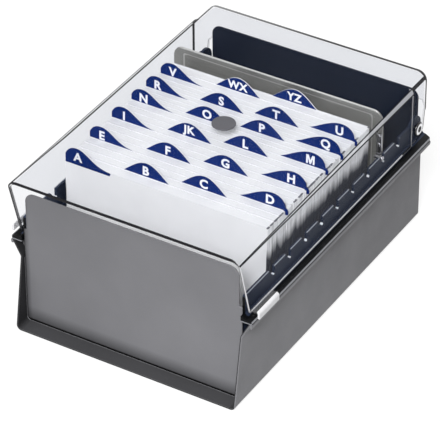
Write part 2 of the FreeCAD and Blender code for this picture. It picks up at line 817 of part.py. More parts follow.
def make_guide(name, column, y):
    """A guide card with one index tab on its top edge."""
    top_from, top_to, left_round, right_round = TAB_SHAPES[column]
    body = new_body(f"guide_{name}")
    left = tab_left(column)
    top = "card_height + index_tab_rise"
    at = [f"{left} + {share} * index_tab_width" for share in (top_from, top_to, 1)]
    corners = [("-card_width / 2", "0"), ("card_width / 2", "0")]
    if column < len(TAB_SHAPES) - 1:
        corners.append(("card_width / 2", "card_height"))
    corners += [(at[2], "card_height"), (at[1], top), (at[0], top)]
    if column > 0:
        corners += [(left, "card_height"), ("-card_width / 2", "card_height")]
    pad(body, drawing(body, f"guide_{name}_outline", "XZ", "0", corners), "guide_thickness")

    def corner_at(spot):
        def chosen(edge):
            point = edge.Vertexes[0].Point
            return runs(edge, 1) and near(point.x, number(spot)) and near(point.z, number(top))
        return chosen

    fillet(body, corner_at(at[0]), f"{left_round} * index_tab_rise")
    fillet(body, corner_at(at[1]), f"{right_round} * index_tab_rise")
    lean_back(body)
    bind_place(body, "-cards_left_by", y, "card_rest")
    return keep(body, f"guide_{name}")


def make_pack(name, y, pitch):
    """The blank cards behind a guide, as one block."""
    block = doc.addObject("Part::Box", f"cards_{name}")
    lean_back(block)
    bind(block, Length="card_width", Width=f"{pitch} - guide_thickness - section_gap",
         Height="card_height")
    bind_place(block, "-card_width / 2 - cards_left_by",
               f"{y} + guide_thickness * cos(card_lean)",
               "card_rest - guide_thickness * sin(card_lean)")
    return keep(block, f"cards_{name}")


def make_cards():
    """Every guide, with its blank cards behind all but the last."""
    for name, column, y, pitch in guide_spots():
        make_guide(name, column, y)
        if name != LAST_GUIDE:
            make_pack(name, y, pitch)


# ---------------------------------------------------------------- build, check and write
def check():
    """Stop if any object failed or any sub-part's shape is unsound."""
    doc.recompute()
    for feature in doc.Objects:
        if {"Invalid", "Error"} & set(feature.State):
            raise RuntimeError(f"{feature.Label} failed: {feature.State}")
    for feature in exports:
        shape = feature.Shape
        if shape.isNull() or not shape.isValid() or shape.Volume <= 0:
            raise RuntimeError(f"{feature.Label} has no sound shape")


def write():
    os.makedirs("parts", exist_ok=True)
    for feature in exports:
        feature.Shape.exportStep(os.path.join("parts", f"{feature.Label}.step"))
        print(f"{feature.Label}: {len(feature.Shape.Solids)} solid, "
              f"{feature.Shape.Volume / 1000:.2f} cm3")


PLACES["last_card_y"] = next(y for name, _, y, _ in guide_spots() if name == LAST_GUIDE)
fill_sheet()
make_shell()
make_panel("front", inward="rear")
make_panel("rear", inward="front")
make_bed()
for rail_side in SIDES:
    make_rail(rail_side)
    make_hinge_pin(rail_side)
make_pads()
make_cover()
make_badge()
make_follower()
for spring_side in SIDES:
    make_spring(spring_side)
make_rivets()
make_cards()
check()
write()
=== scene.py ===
# %% [markdown]
# # A covered tray for index cards
# The real object is a steel tray with two toothed side rails, a pack of lettered guides and blank
# cards, a steel follower that holds the pack upright, and a clear hinged cover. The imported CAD
# model is the fixed frame: every piece below is drawn in its coordinates, so nothing is fitted by
# eye. Sizes are in millimetres, and MM turns them into metres wherever a mesh, a modifier or a
# finish needs them. Only the lamps are placed in metres.

# %% Load the frame
import math

import bmesh
import bpy
import numpy as np
from mathutils import Matrix, Vector


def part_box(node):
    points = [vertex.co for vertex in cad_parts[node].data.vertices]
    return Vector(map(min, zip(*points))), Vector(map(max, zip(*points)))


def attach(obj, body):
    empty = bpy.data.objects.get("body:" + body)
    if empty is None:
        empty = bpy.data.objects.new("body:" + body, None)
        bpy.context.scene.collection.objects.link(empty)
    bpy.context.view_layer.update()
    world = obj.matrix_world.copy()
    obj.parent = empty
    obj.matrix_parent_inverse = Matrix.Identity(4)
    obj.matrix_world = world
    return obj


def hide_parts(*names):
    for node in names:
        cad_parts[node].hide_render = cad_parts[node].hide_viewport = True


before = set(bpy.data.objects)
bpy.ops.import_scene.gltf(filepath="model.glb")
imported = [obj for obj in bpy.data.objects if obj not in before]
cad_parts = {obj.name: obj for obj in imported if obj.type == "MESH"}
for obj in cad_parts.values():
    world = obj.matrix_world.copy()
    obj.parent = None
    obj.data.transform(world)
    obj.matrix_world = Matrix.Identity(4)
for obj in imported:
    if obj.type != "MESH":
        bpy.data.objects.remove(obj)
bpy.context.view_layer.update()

# %% [markdown]
# ## Small tools for surfaces
# Sheet metal, moulded plastic and card are all simple surfaces: an outline pushed along a straight
# line, a profile turned about a line, or a strip bent along a path. They could be modelled by hand
# from boxes. Working them out as arrays keeps each size a named number that can be checked.

# %% Meshes from arrays
MM = 0.001
WELD = 0.002 * MM


def new_piece(name, points, faces, smooth=True):
    """An object at the origin from points in mm; doubles are merged and faces turned outwards."""
    mesh = bpy.data.meshes.new(name)
    mesh.from_pydata((np.asarray(points, float) * MM).tolist(), [], faces)
    work = bmesh.new()
    work.from_mesh(mesh)
    bmesh.ops.remove_doubles(work, verts=work.verts, dist=WELD)
    bmesh.ops.dissolve_degenerate(work, edges=work.edges, dist=WELD)
    bmesh.ops.recalc_face_normals(work, faces=work.faces)
    work.to_mesh(mesh)
    work.free()
    mesh.polygons.foreach_set("use_smooth", [smooth] * len(mesh.polygons))
    piece = bpy.data.objects.new(name, mesh)
    bpy.context.scene.collection.objects.link(piece)
    return piece


def spots_of(mesh):
    """The mesh's points as rows of x, y and z, in the mesh's own units."""
    flat = np.empty(len(mesh.vertices) * 3)
    mesh.vertices.foreach_get("co", flat)
    return flat.reshape(-1, 3)


def grid_faces(rows, columns, close_rows=False, close_columns=False):
    """Quads of a grid of points: each joins (i, j), (i, j+1), (i+1, j+1) and (i+1, j)."""
    i = np.arange(rows if close_rows else rows - 1)[:, None]
    j = np.arange(columns if close_columns else columns - 1)[None, :]
    next_i = (i + 1) % rows
    next_j = (j + 1) % columns
    corners = (i * columns + j, i * columns + next_j, next_i * columns + next_j,
               next_i * columns + j)
    return np.stack(np.broadcast_arrays(*corners), -1).reshape(-1, 4).tolist()


def loft(loops):
    """Bands of quads between closed loops of equal length, with a flat cap at both ends."""
    loops = np.asarray(loops, float)
    rows, columns = loops.shape[:2]
    faces = grid_faces(rows, columns, close_columns=True)
    faces.append(list(range(columns))[::-1])
    faces.append(list(range((rows - 1) * columns, rows * columns)))
    return loops.reshape(-1, 3), faces


def joined(*parts):
    """Several (points, faces) pairs as one pair, each part's point numbers moved up."""
    points, faces, start = [], [], 0
    for part_points, part_faces in parts:
        points.append(np.asarray(part_points, float).reshape(-1, 3))
        faces += [[start + k for k in face] for face in part_faces]
        start += len(points[-1])
    return np.concatenate(points), faces


# %% Outlines and paths
ARC_STEPS = 7
SAME_SPOT = 1e-6
PLANES = {"XZ": (0, 2, 1), "YZ": (1, 2, 0), "XY": (0, 1, 2)}


def in_space(plane, first, second, depth):
    """Points whose two drawn coordinates lie in the named plane, at a depth across it."""
    first, second, depth = np.broadcast_arrays(first, second, depth)
    placed = np.empty(first.shape + (3,))
    for axis, values in zip(PLANES[plane], (first, second, depth)):
        placed[..., axis] = values
    return placed


def rounded(corners, radii, steps=ARC_STEPS):
    """A closed outline with an arc at each corner.
    An arc of radius r begins r * tan(turn / 2) before its corner, where turn is the change of
    direction, and its centre lies r to the side towards which the outline turns."""
    corners = np.asarray(corners, float)
    radii = np.broadcast_to(np.asarray(radii, float), len(corners))[:, None]
    arriving = corners - np.roll(corners, 1, 0)
    leaving = np.roll(corners, -1, 0) - corners
    arriving /= np.linalg.norm(arriving, axis=1, keepdims=True)
    leaving /= np.linalg.norm(leaving, axis=1, keepdims=True)
    cross = arriving[:, 0] * leaving[:, 1] - arriving[:, 1] * leaving[:, 0]
    turn = np.arctan2(cross, (arriving * leaving).sum(1))[:, None]
    left = np.stack([-arriving[:, 1], arriving[:, 0]], 1) * np.sign(turn)
    centre = corners - arriving * radii * np.tan(np.abs(turn) / 2) + left * radii
    angle = turn * np.linspace(0, 1, steps + 1)[None, :]
    spoke = -left * radii
    x = centre[:, :1] + spoke[:, :1] * np.cos(angle) - spoke[:, 1:] * np.sin(angle)
    y = centre[:, 1:] + spoke[:, :1] * np.sin(angle) + spoke[:, 1:] * np.cos(angle)
    return np.stack([x, y], -1).reshape(-1, 2)


def bent_path(corners, radii, steps=ARC_STEPS):
    """An open line through corners, each bend an arc; repeated points are dropped."""
    radii = np.concatenate([[0], np.broadcast_to(radii, len(corners) - 2), [0]])
    path = rounded(corners, radii, steps)
    step = np.linalg.norm(np.diff(path, axis=0), axis=1)
    return path[np.concatenate([[True], step > SAME_SPOT])]


def mirrored(half):
    """A half outline drawn for positive x, followed by its mirror image in reverse."""
    half = np.asarray(half, float)
    return np.concatenate([half, (half * [-1, 1])[::-1]])


# %% Solids from outlines and paths
def prism(outline, plane, low, high):
    """An outline pushed straight from one depth to another; either depth may vary by point."""
    outline = np.asarray(outline, float)
    return loft([in_space(plane, outline[:, 0], outline[:, 1], depth) for depth in (low, high)])


def bent_strip(path, thickness, plane, low, high):
    """A strip of even thickness bent along a path: each point moves half the thickness to both
    sides along the mean normal of its two neighbours, lengthened by 1 / cos(half the bend)."""
    path = np.asarray(path, float)
    run = np.diff(path, axis=0)
    run /= np.linalg.norm(run, axis=1, keepdims=True)
    before = np.concatenate([run[:1], run])
    after = np.concatenate([run, run[-1:]])
    mean = before + after
    mean /= np.linalg.norm(mean, axis=1, keepdims=True)
    stretch = 1 / (mean * before).sum(1, keepdims=True)
    side = np.stack([-mean[:, 1], mean[:, 0]], 1) * stretch * thickness / 2
    one = path + side
    other = path - side
    corners = [in_space(plane, edge[:, 0], edge[:, 1], depth)
               for edge, depth in ((one, low), (one, high), (other, high), (other, low))]
    return loft(np.stack(corners, 1))


def turned(profile, plane, centre, segments=64, hollow=False):
    """A profile of (depth, radius) turned about a line across the named plane.
    Point k of a ring lies at centre + radius * (cos, sin) of k / segments of a full turn."""
    profile = np.asarray(profile, float)
    angle = np.arange(segments) * 2 * np.pi / segments
    first = centre[0] + profile[:, 1:] * np.cos(angle)
    second = centre[1] + profile[:, 1:] * np.sin(angle)
    rings = in_space(plane, first, second, profile[:, :1])
    if not hollow:
        return loft(rings)
    return rings.reshape(-1, 3), grid_faces(len(profile), segments, True, True)


def soften(piece, width, segments=2, angle=35):
    """Round off the edges sharper than an angle with a bevel of the given width in mm."""
    bevel = piece.modifiers.new("softened edges", "BEVEL")
    bevel.width = width * MM
    bevel.segments = segments
    bevel.limit_method = "ANGLE"
    bevel.angle_limit = math.radians(angle)
    bevel.harden_normals = False
    split = piece.modifiers.new("even shading", "WEIGHTED_NORMAL")
    split.keep_sharp = True
    return piece


def finish_piece(piece, body, material, replaced=()):
    """Give a piece its material, its body and the nodes that it stands for."""
    piece.data.materials.append(material)
    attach(piece, body)
    if replaced:
        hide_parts(*replaced)
    spots = spots_of(piece.data) / MM
    print(f"{piece.name}: {len(piece.data.polygons)} faces, "
          f"{np.round(spots.min(0), 1).tolist()} to {np.round(spots.max(0), 1).tolist()} mm")
    return piece


# %% [markdown]
# ## Main sizes
# Painted shade and highlights lie where the shapes are: the tops of the teeth have a painted
# highlight, and the cover's painted lines run along its bends. So the sizes that a shape and a
# finish share come first and are written once.
# A size that only one piece needs stands beside that piece.

# %% Tray sizes
STEEL = 0.9
HALF_TRAY = 55.8
PAD_HEIGHT = 0.5
WALL_TOP, LIP_TOP = 36.5, 44.4
FLARE_OUT = 4.9
BASE_FRONT, BASE_REAR = -83.8, 80.8
print("tray:", 2 * HALF_TRAY, "by", round(BASE_REAR - BASE_FRONT, 1), "mm")

# %% Rail sizes
RAIL_IN, RAIL_OUT = 54.3, 55.6
SKIRT_IN, SKIRT_OUT = 53.7, 54.8
SKIRT_LOW = 30.4
RAIL_FRONT, RAIL_REAR = -75.2, 79.5
RAIL_TOP = 56.3
LEDGE_IN, LEDGE_OUT = 55.0, 60.6
LEDGE_EDGE, LEDGE_ROOT = 45.6, 46.2
LEDGE_FRONT, LEDGE_REAR = -77.8, 82.0
LEDGE_CORNER = 2.6
FIRST_NOTCH, NOTCH_PITCH, NOTCHES = -50.7, 13.8, 9
NOTCH_BOTTOM, NOTCH_LENGTH, NOTCH_FLOOR = 52.3, 4.5, 1.6
HINGE_Y, HINGE_Z = 74.5, 53.2
EAR_RADIUS = 5.6
print("rails:", NOTCHES, "notches,", NOTCH_PITCH, "mm apart")

# %% Follower and card sizes
FOLLOWER_FACE, FOLLOWER_THICK = 46.3, 1.0
FOLLOWER_BACK = FOLLOWER_FACE + FOLLOWER_THICK
FOLLOWER_HALF, FOLLOWER_LOW_HALF = 54.0, 53.4
FOLLOWER_BOTTOM, FOLLOWER_TOP = 14.05, 77.0
FOLLOWER_STEP = 45.9
FIELD_HALF, FIELD_LOW, FIELD_TOP = 48.8, 16.4, 74.4
CARD_WIDTH, CARD_HEIGHT = 101.6, 57.15
CARD_LEFT = -CARD_WIDTH / 2 - 0.8
CARD_RIGHT = CARD_LEFT + CARD_WIDTH
CARD_REST = 14.057
print("cards:", CARD_WIDTH, "by", CARD_HEIGHT, "mm")

# %% Cover sizes
COVER_HALF, COVER_HALF_REAR = 57.8, 57.0
COVER_FRONT, COVER_REAR = -83.0, 83.8
COVER_LOW, COVER_TOP = 47.5, 79.306
COVER_THICK = 1.1
COVER_CORNER, REAR_CORNER = 5.0, 2.5
BEND_X, BEND_Z = COVER_HALF - COVER_CORNER, COVER_TOP - COVER_CORNER
GRIP_FRONT, GRIP_LENGTH = -74.3, 16.3
GRIP_TOP, GRIP_OUT, GRIP_DROP = 49.6, 62.3, 3.7
COVER_RAKE = (GRIP_FRONT - COVER_FRONT) / (COVER_TOP - COVER_LOW)
JOGGLE_FROM, JOGGLE_TO = 68.0, 69.3
print("cover:", 2 * COVER_HALF, "by", round(COVER_REAR - COVER_FRONT, 1), "mm")

# %% [markdown]
# ## Finishes
# A painted sheet is never one colour: the paint pools, the spray leaves a fine peel, and handling
# dulls it in patches. Each solid finish below is a Principled shader whose colour, roughness and
# bump come from noise in Object coordinates, so that the pattern has a real size. Some of the
# shade and shine that show in one usual light are painted on by rules on the same coordinates.
# Painted shade is a shortcut: it stays where it is when the lamps or the pose change.

# %% Node helpers
def start_finish(name):
    """A new material with an empty node tree."""
    material = bpy.data.materials.new(name)
    material.use_nodes = True
    material.node_tree.nodes.clear()
    return material, material.node_tree


def node(tree, kind, inputs=None, **settings):
    """Add a node; inputs maps a socket to a value or to the socket that feeds it."""
    made = tree.nodes.new(kind)
    for key, value in settings.items():
        setattr(made, key, value)
    for key, value in (inputs or {}).items():
        if isinstance(value, bpy.types.NodeSocket):
            tree.links.new(value, made.inputs[key])
        else:
            made.inputs[key].default_value = value
    return made


def place_of(tree, stretch=(1, 1, 1)):
    """Object coordinates, stretched along each axis."""
    here = node(tree, "ShaderNodeTexCoord").outputs["Object"]
    return node(tree, "ShaderNodeMapping", {"Vector": here, "Scale": stretch}).outputs[0]


def noise(tree, place, size_mm, detail=3.0, roughness=0.55):
    """Noise whose blotches are about size_mm across."""
    inputs = {"Vector": place, "Scale": 1 / (size_mm * MM), "Detail": detail,
              "Roughness": roughness}
    return node(tree, "ShaderNodeTexNoise", inputs).outputs["Fac"]


def between(tree, value, low, high, start=0.3, end=0.7):
    """A value moved from the range start..end to low..high."""
    inputs = {"Value": value, "From Min": start, "From Max": end, "To Min": low, "To Max": high}
    return node(tree, "ShaderNodeMapRange", inputs).outputs[0]


def blended(tree, share, one, other):
    """One colour, going over to another by a share from 0 to 1."""
    made = node(tree, "ShaderNodeMix", data_type="RGBA")
    for key, value in ((0, share), (6, one), (7, other)):
        if isinstance(value, bpy.types.NodeSocket):
            tree.links.new(value, made.inputs[key])
        elif key == 0:
            made.inputs[key].default_value = value
        else:
            made.inputs[key].default_value = (*value, 1)
    return made.outputs[2]


def bumped(tree, height, depth_mm):
    """A bump of the given depth from a height between 0 and 1."""
    inputs = {"Height": height, "Distance": depth_mm * MM, "Strength": 1.0}
    return node(tree, "ShaderNodeBump", inputs).outputs[0]


def close_finish(material, tree, **inputs):
    """End a node tree in one Principled shader, its sockets named with underscores for spaces."""
    named = {key.replace("_", " "): value for key, value in inputs.items()}
    shader = node(tree, "ShaderNodeBsdfPrincipled", named)
    node(tree, "ShaderNodeOutputMaterial", {"Surface": shader.outputs[0]})
    return material


# %% Arithmetic on sockets
def calc(tree, operation, *values):
    """One Math node: the operation on up to three values or sockets."""
    return node(tree, "ShaderNodeMath", dict(enumerate(values)), operation=operation).outputs[0]


def stripe(tree, value, centre, half_width, soft=0.12):
    """One inside half_width of a centre and zero outside, with a soft edge, all in mm."""
    away = calc(tree, "ABSOLUTE", calc(tree, "SUBTRACT", value, centre))
    return between(tree, away, 1, 0, half_width - soft, half_width + soft)


def attribute(tree, name):
    """A float attribute of the piece."""
    return node(tree, "ShaderNodeAttribute", attribute_name=name).outputs["Fac"]


def product(tree, *values):
    """All the values multiplied."""
    total = values[0]
    for value in values[1:]:
        total = calc(tree, "MULTIPLY", total, value)
    return total


def highest(tree, *values):
    """The greatest of all the values."""
    total = values[0]
    for value in values[1:]:
        total = calc(tree, "MAXIMUM", total, value)
    return total


def rest_of(tree, share):
    """What a share from 0 to 1 leaves of one."""
    return calc(tree, "SUBTRACT", 1.0, share)


def reach_from(tree, first, second, centre):
    """The distance from a centre in a plane: the root of the sum of two squares."""
    squares = [calc(tree, "POWER", calc(tree, "SUBTRACT", value, middle), 2.0)
               for value, middle in zip((first, second), centre)]
    return calc(tree, "SQRT", calc(tree, "ADD", *squares))


def above(tree, value, limit, soft=0.1):
    """One where a value is above a limit and zero below it, with a soft edge."""
    return between(tree, value, 0, 1, limit - soft, limit + soft)


def under(tree, value, limit, soft=0.1):
    """One where a value is under a limit and zero above it, with a soft edge."""
    return between(tree, value, 1, 0, limit - soft, limit + soft)


def spot_of(tree):
    """Object coordinates in mm: x, y and z."""
    return node(tree, "ShaderNodeSeparateXYZ", {0: place_of(tree, (1 / MM,) * 3)}).outputs


def darkened(tree, tone, share):
    """A colour times a share from 0 to 1."""
    return blended(tree, share, (0, 0, 0), tone)


def times(share, tone):
    """A plain colour with each of its three parts multiplied."""
    return tuple(share * part for part in tone)


def shaders_mixed(tree, share, one, other):
    """One shader, going over to another by a share from 0 to 1."""
    return node(tree, "ShaderNodeMixShader", {0: share, 1: one, 2: other}).outputs[0]


# %% Painted steel and moulded plastic
PATCH_SIZE, SPECK_SIZE, DULL_SIZE = 38, 0.35, 12


def painted_finish(name, pale, deep, gloss, peel_mm, peel_depth, shine=0.22, marks=None):
    """Enamel: broad tone patches, fine specks, an orange-peel bump and patchy gloss; marks is a
    rule that darkens or lightens the tone by place."""
    material, tree = start_finish(name)
    place = place_of(tree)
    patches = between(tree, noise(tree, place, PATCH_SIZE, 4), 0, 1)
    tone = blended(tree, patches, deep, pale)
    specks = between(tree, noise(tree, place, SPECK_SIZE, 2), 0, 0.35, 0.55, 0.8)
    tone = blended(tree, specks, tone, times(1.35, pale))
    if marks:
        tone = marks(tree, tone)
    peel = noise(tree, place, peel_mm, 2)
    dull = between(tree, noise(tree, place, DULL_SIZE, 5), gloss - 0.05, gloss + 0.07)
    return close_finish(material, tree, Base_Color=tone, Roughness=dull,
                        Normal=bumped(tree, peel, peel_depth), Specular_IOR_Level=shine)


# %% Marks on the gray enamel
# A fade holds the share at its start, the share at its end, and those two places in mm.
FLARE_SLOPE = 0.537
WALL_INSIDE, WALL_OUTSIDE = HALF_TRAY - 0.5, HALF_TRAY - 0.12
CORNER_BEFORE, CORNER_LOW = -76.4, PAD_HEIGHT + 0.7
CORNER_BACK_FADE = (0, 2.5, 35, 37)
CORNER_FADE = (0.70, 0.88, 52.5, 54.5)
FOLD_FADE = (0.10, 1, 0.9, 1.42)
REAR_FADE = (1, 0.76, -45, 80)
PLATE_UP_FADES = ((0.30, 1, 1.8, 9.5), (0.04, 1, 2.5, 2.8), (1, 0.88, 30, 70))
PLATE_ASIDE_FADES = ((0.35, 1, -54.9, -52.0), (0.1, 1, -54.6, -54.0), (0.90, 1, -52, 30))


def shell_marks(tree, tone):
    """Painted shade in the corner before the front plate, round the lowest fold and, a little,
    toward the rear of the sides. A wall's faces are found by its distance from the middle, less
    the height above the flare's start times the flare's slope."""
    x, y, z = spot_of(tree)
    out = calc(tree, "ABSOLUTE", x)
    raised = highest(tree, calc(tree, "SUBTRACT", z, WALL_TOP), 0.0)
    wall = calc(tree, "SUBTRACT", out, product(tree, raised, FLARE_SLOPE))
    on_left = under(tree, x, 0.0)
    inside = highest(tree, under(tree, wall, WALL_INSIDE),
                     product(tree, under(tree, wall, WALL_OUTSIDE), on_left))
    depth = calc(tree, "SUBTRACT", y, between(tree, z, *CORNER_BACK_FADE))
    corner = product(tree, inside, under(tree, depth, CORNER_BEFORE), above(tree, z, CORNER_LOW))
    keep = rest_of(tree, product(tree, corner, between(tree, out, *CORNER_FADE)))
    return darkened(tree, tone, product(tree, keep, between(tree, z, *FOLD_FADE),
                                        between(tree, y, *REAR_FADE)))


def plate_marks(tree, tone):
    """Painted shade on the front plate: toward its foot and its left side, and a little toward
    its top."""
    x, _, z = spot_of(tree)
    shares = [between(tree, z, *fade) for fade in PLATE_UP_FADES]
    shares += [between(tree, x, *fade) for fade in PLATE_ASIDE_FADES]
    return darkened(tree, tone, product(tree, *shares))


GRAY = ((0.205, 0.205, 0.218), (0.178, 0.178, 0.190), 0.42, 1.1, 0.010, 0.20)
SHELL_ENAMEL = painted_finish("gray enamel, tray", *GRAY, shell_marks)
PLATE_ENAMEL = painted_finish("gray enamel, plate", *GRAY, plate_marks)
NAVY_ENAMEL = painted_finish("navy enamel", (0.013, 0.018, 0.033), (0.009, 0.013, 0.025),
                             0.50, 1.0, 0.010, 0.06)
print("enamels: gray for the tray, gray for the plate, navy")

# %% Marks on the rails
# The gutter's black is painted shade. The pale outer edge and front end of the ledge, the pale tops
# of the teeth and the bright spot at the deep end of each notch are painted highlights.
GUTTER_TONE = (0.0025, 0.0028, 0.0035)
EDGE_HIGHLIGHT_TONE = (0.26, 0.265, 0.285)
TOOTH_TONE = (0.28, 0.30, 0.34)
NOTCH_GLINT_TONE = (0.75, 0.77, 0.80)
GUTTER_OUT, GUTTER_BEFORE = RAIL_OUT + 1.7, RAIL_FRONT + 0.2
EDGE_HIGHLIGHT_OUT, EDGE_HIGHLIGHT_ABOVE = LEDGE_OUT - 0.45, LEDGE_EDGE - 0.6
END_BEFORE, END_BELOW = LEDGE_FRONT + 0.5, LEDGE_EDGE - 0.65
TOOTH_OUT, TOOTH_ABOVE, TEETH_END = RAIL_OUT - 0.45, RAIL_TOP - 0.2, 60.0
NOTCH_GLINT_SHARE, NOTCH_GLINT_LINE = 0.925, (NOTCH_BOTTOM + 0.1, 0.42)
NOTCH_GLINT_FROM, NOTCH_GLINT_TO = -56.0, 62.0
PITCHES_BEFORE = 10  # whole pitches ahead of the first notch, so that no division is negative


def rail_marks(tree, tone):
    """Painted shade and shine: the gutter outside the cover is black, its outer edge and the tops
    of the teeth are pale, and the deep end of each notch is bright. The notches are found by the
    fraction that is left when the way along the rail is divided by their pitch."""
    x, y, z = spot_of(tree)
    out = calc(tree, "ABSOLUTE", x)
    gutter = highest(tree, above(tree, out, GUTTER_OUT), under(tree, y, GUTTER_BEFORE))
    tone = blended(tree, gutter, tone, GUTTER_TONE)
    edge_highlight = product(tree, above(tree, out, EDGE_HIGHLIGHT_OUT), above(tree, z, EDGE_HIGHLIGHT_ABOVE))
    end = product(tree, under(tree, y, END_BEFORE), under(tree, z, END_BELOW))
    tone = blended(tree, highest(tree, edge_highlight, end), tone, EDGE_HIGHLIGHT_TONE)
    teeth = product(tree, above(tree, z, TOOTH_ABOVE), above(tree, out, TOOTH_OUT),
                    under(tree, y, TEETH_END))
    tone = blended(tree, teeth, tone, TOOTH_TONE)
    passed = calc(tree, "SUBTRACT", y, FIRST_NOTCH - PITCHES_BEFORE * NOTCH_PITCH)
    phase = calc(tree, "FRACT", calc(tree, "DIVIDE", passed, NOTCH_PITCH))
    notch_glint = product(tree, above(tree, phase, NOTCH_GLINT_SHARE, 0.01), stripe(tree, z, *NOTCH_GLINT_LINE),
                     above(tree, y, NOTCH_GLINT_FROM), under(tree, y, NOTCH_GLINT_TO))
    return blended(tree, notch_glint, tone, NOTCH_GLINT_TONE)


NAVY_PLASTIC = painted_finish("navy plastic", (0.024, 0.032, 0.058), (0.017, 0.024, 0.044),
                              0.36, 0.6, 0.012, 0.08, rail_marks)
DISC_ENAMEL = painted_finish("badge enamel", (0.105, 0.105, 0.118), (0.090, 0.090, 0.102),
                             0.45, 0.5, 0.006, 0.15)
PAD_RUBBER = painted_finish("pad rubber", (0.030, 0.030, 0.030), (0.018, 0.018, 0.018),
                            0.75, 0.25, 0.020)
print("painted finishes:", len(bpy.data.materials))


# %% Brushed and plated metal
BRUSHED_LONG = 0.025
# A painted highlight on the follower's pressed border and on its top edge.
BORDER_HIGHLIGHT_TONE, BORDER_HIGHLIGHT_SHARE = (0.62, 0.62, 0.60), 0.75
BORDER_INSET, BORDER_BLEND, BORDER_WIDTH = 0.2, 2.0, 0.32
TOP_EDGE = 0.5
# Painted shade in the hinge rivet's bore and round the foot of its rolled ring.
RIVET_SHADE_TONE, RIVET_SHADE_SHARE = (0.01, 0.01, 0.012), 0.93
BORE_RING, RIVET_SHADE_FROM = (1.1, 0.45), 2.75


def brushed_finish(name, pale, deep, gloss):
    """Steel brushed across the tray: noise drawn out 40 times along X gives the scratches. The
    pressed border and the top edge get a painted highlight."""
    material, tree = start_finish(name)
    scratch = noise(tree, place_of(tree, (BRUSHED_LONG, 1, 1)), 0.30, 3, 0.6)
    patches = noise(tree, place_of(tree), 26, 4)
    tone = blended(tree, between(tree, scratch, 0, 1), deep, pale)
    tone = blended(tree, between(tree, patches, 0, 0.4), tone, times(0.8, pale))
    x, _, z = spot_of(tree)
    past = calc(tree, "SMOOTH_MAX",
                calc(tree, "SUBTRACT", calc(tree, "ABSOLUTE", x), FIELD_HALF - BORDER_INSET),
                calc(tree, "SUBTRACT", z, FIELD_TOP - BORDER_INSET), BORDER_BLEND)
    bright = highest(tree, stripe(tree, past, 0.0, BORDER_WIDTH),
                     above(tree, z, FOLLOWER_TOP - TOP_EDGE))
    tone = blended(tree, product(tree, bright, BORDER_HIGHLIGHT_SHARE), tone, BORDER_HIGHLIGHT_TONE)
    dull = between(tree, scratch, gloss - 0.08, gloss + 0.10)
    return close_finish(material, tree, Base_Color=tone, Metallic=0.55, Roughness=dull,
                        Normal=bumped(tree, scratch, 0.012))


def plated_finish(name, tone, gloss, rings=False):
    """Bright plate: mirror-like, with faint pits and a slightly uneven gloss; on the hinge rivet,
    painted shade darkens the bore and the foot of the rolled ring."""
    material, tree = start_finish(name)
    place = place_of(tree)
    cloud = noise(tree, place, 1.5, 4)
    shade = blended(tree, between(tree, cloud, 0, 1), times(0.82, tone), tone)
    if rings:
        _, y, z = spot_of(tree)
        reach = reach_from(tree, y, z, (HINGE_Y, HINGE_Z))
        ring_shade = highest(tree, stripe(tree, reach, *BORE_RING), above(tree, reach, RIVET_SHADE_FROM))
        shade = blended(tree, product(tree, ring_shade, RIVET_SHADE_SHARE), shade, RIVET_SHADE_TONE)
    dull = between(tree, cloud, gloss - 0.04, gloss + 0.06)
    return close_finish(material, tree, Base_Color=shade, Metallic=1.0, Roughness=dull,
                        Normal=bumped(tree, noise(tree, place, 0.3, 2), 0.004))


FOLLOWER_STEEL = brushed_finish("brushed steel", (0.330, 0.330, 0.315), (0.225, 0.225, 0.214), 0.42)
NICKEL = plated_finish("nickel plate", (0.56, 0.56, 0.58), 0.16)
RIVET_NICKEL = plated_finish("nickel rivet", (0.85, 0.85, 0.87), 0.20, True)
print("metal finishes: brushed steel, nickel plate, nickel rivet")

# %% [markdown]
# ### Card and print
# Card stock is white with faint fibres. The lettered tab of each guide is printed in deep blue on
# both faces, and the cut edge of the card stays white. The print is a colour rule on an attribute
# that holds the height above the top edge of the blank cards, so it follows the leaning card.

# %% Card stock and tab print
PAPER_WHITE = (0.89, 0.895, 0.915)
PAPER_SHADE = (0.85, 0.855, 0.875)
TAB_BLUE = (0.004, 0.021, 0.140)
TAB_BLUE_DEEP = (0.003, 0.017, 0.118)
GAP_SHADE = (0.022, 0.026, 0.044)
CUT_SIDE = 0.35
SHADE_LOW, SHADE_SWING, SHADE_SOFT = 53.2, 9.0, (-2.6, 3.2)
SHADE_SHARE, GAP_SHARE = 0.96, 0.85
GAP_INSET, GAP_ABOVE = 0.7, 70.75
UPRIGHT = (0.05, 1, 0.05)
UPRIGHT_WAVY = (0.05, 1, 0.12)


def fibres(tree):
    """Fine flecks with broader clouds, as in card stock, from 0 to 1."""
    flecks = noise(tree, place_of(tree, (1, 1, 0.25)), 0.22, 4)
    clouds = noise(tree, place_of(tree), 9, 3)
    return between(tree, calc(tree, "ADD", flecks, clouds), 0, 1, 0.75, 1.25)


def edge_marks(tree, tone):
    """Painted shade: deep on the cards' cut sides down by the rails, with a feathered upper limit,
    and short dark gaps between the cards along the top of those sides."""
    x, _, z = spot_of(tree)
    side = highest(tree, above(tree, x, CARD_RIGHT - CUT_SIDE),
                   under(tree, x, CARD_LEFT + CUT_SIDE))
    feather = noise(tree, place_of(tree, UPRIGHT_WAVY), 4.2, 1)
    limit = calc(tree, "MULTIPLY_ADD", feather, SHADE_SWING, SHADE_LOW)
    low = between(tree, calc(tree, "SUBTRACT", z, limit), 1, 0, *SHADE_SOFT)
    gaps = product(tree, above(tree, x, CARD_RIGHT - GAP_INSET), above(tree, z, GAP_ABOVE),
                   above(tree, noise(tree, place_of(tree, UPRIGHT), 3.5, 1), 0.5, 0.02))
    dark = highest(tree, product(tree, side, low, SHADE_SHARE), product(tree, gaps, GAP_SHARE))
    return blended(tree, dark, tone, GAP_SHADE)


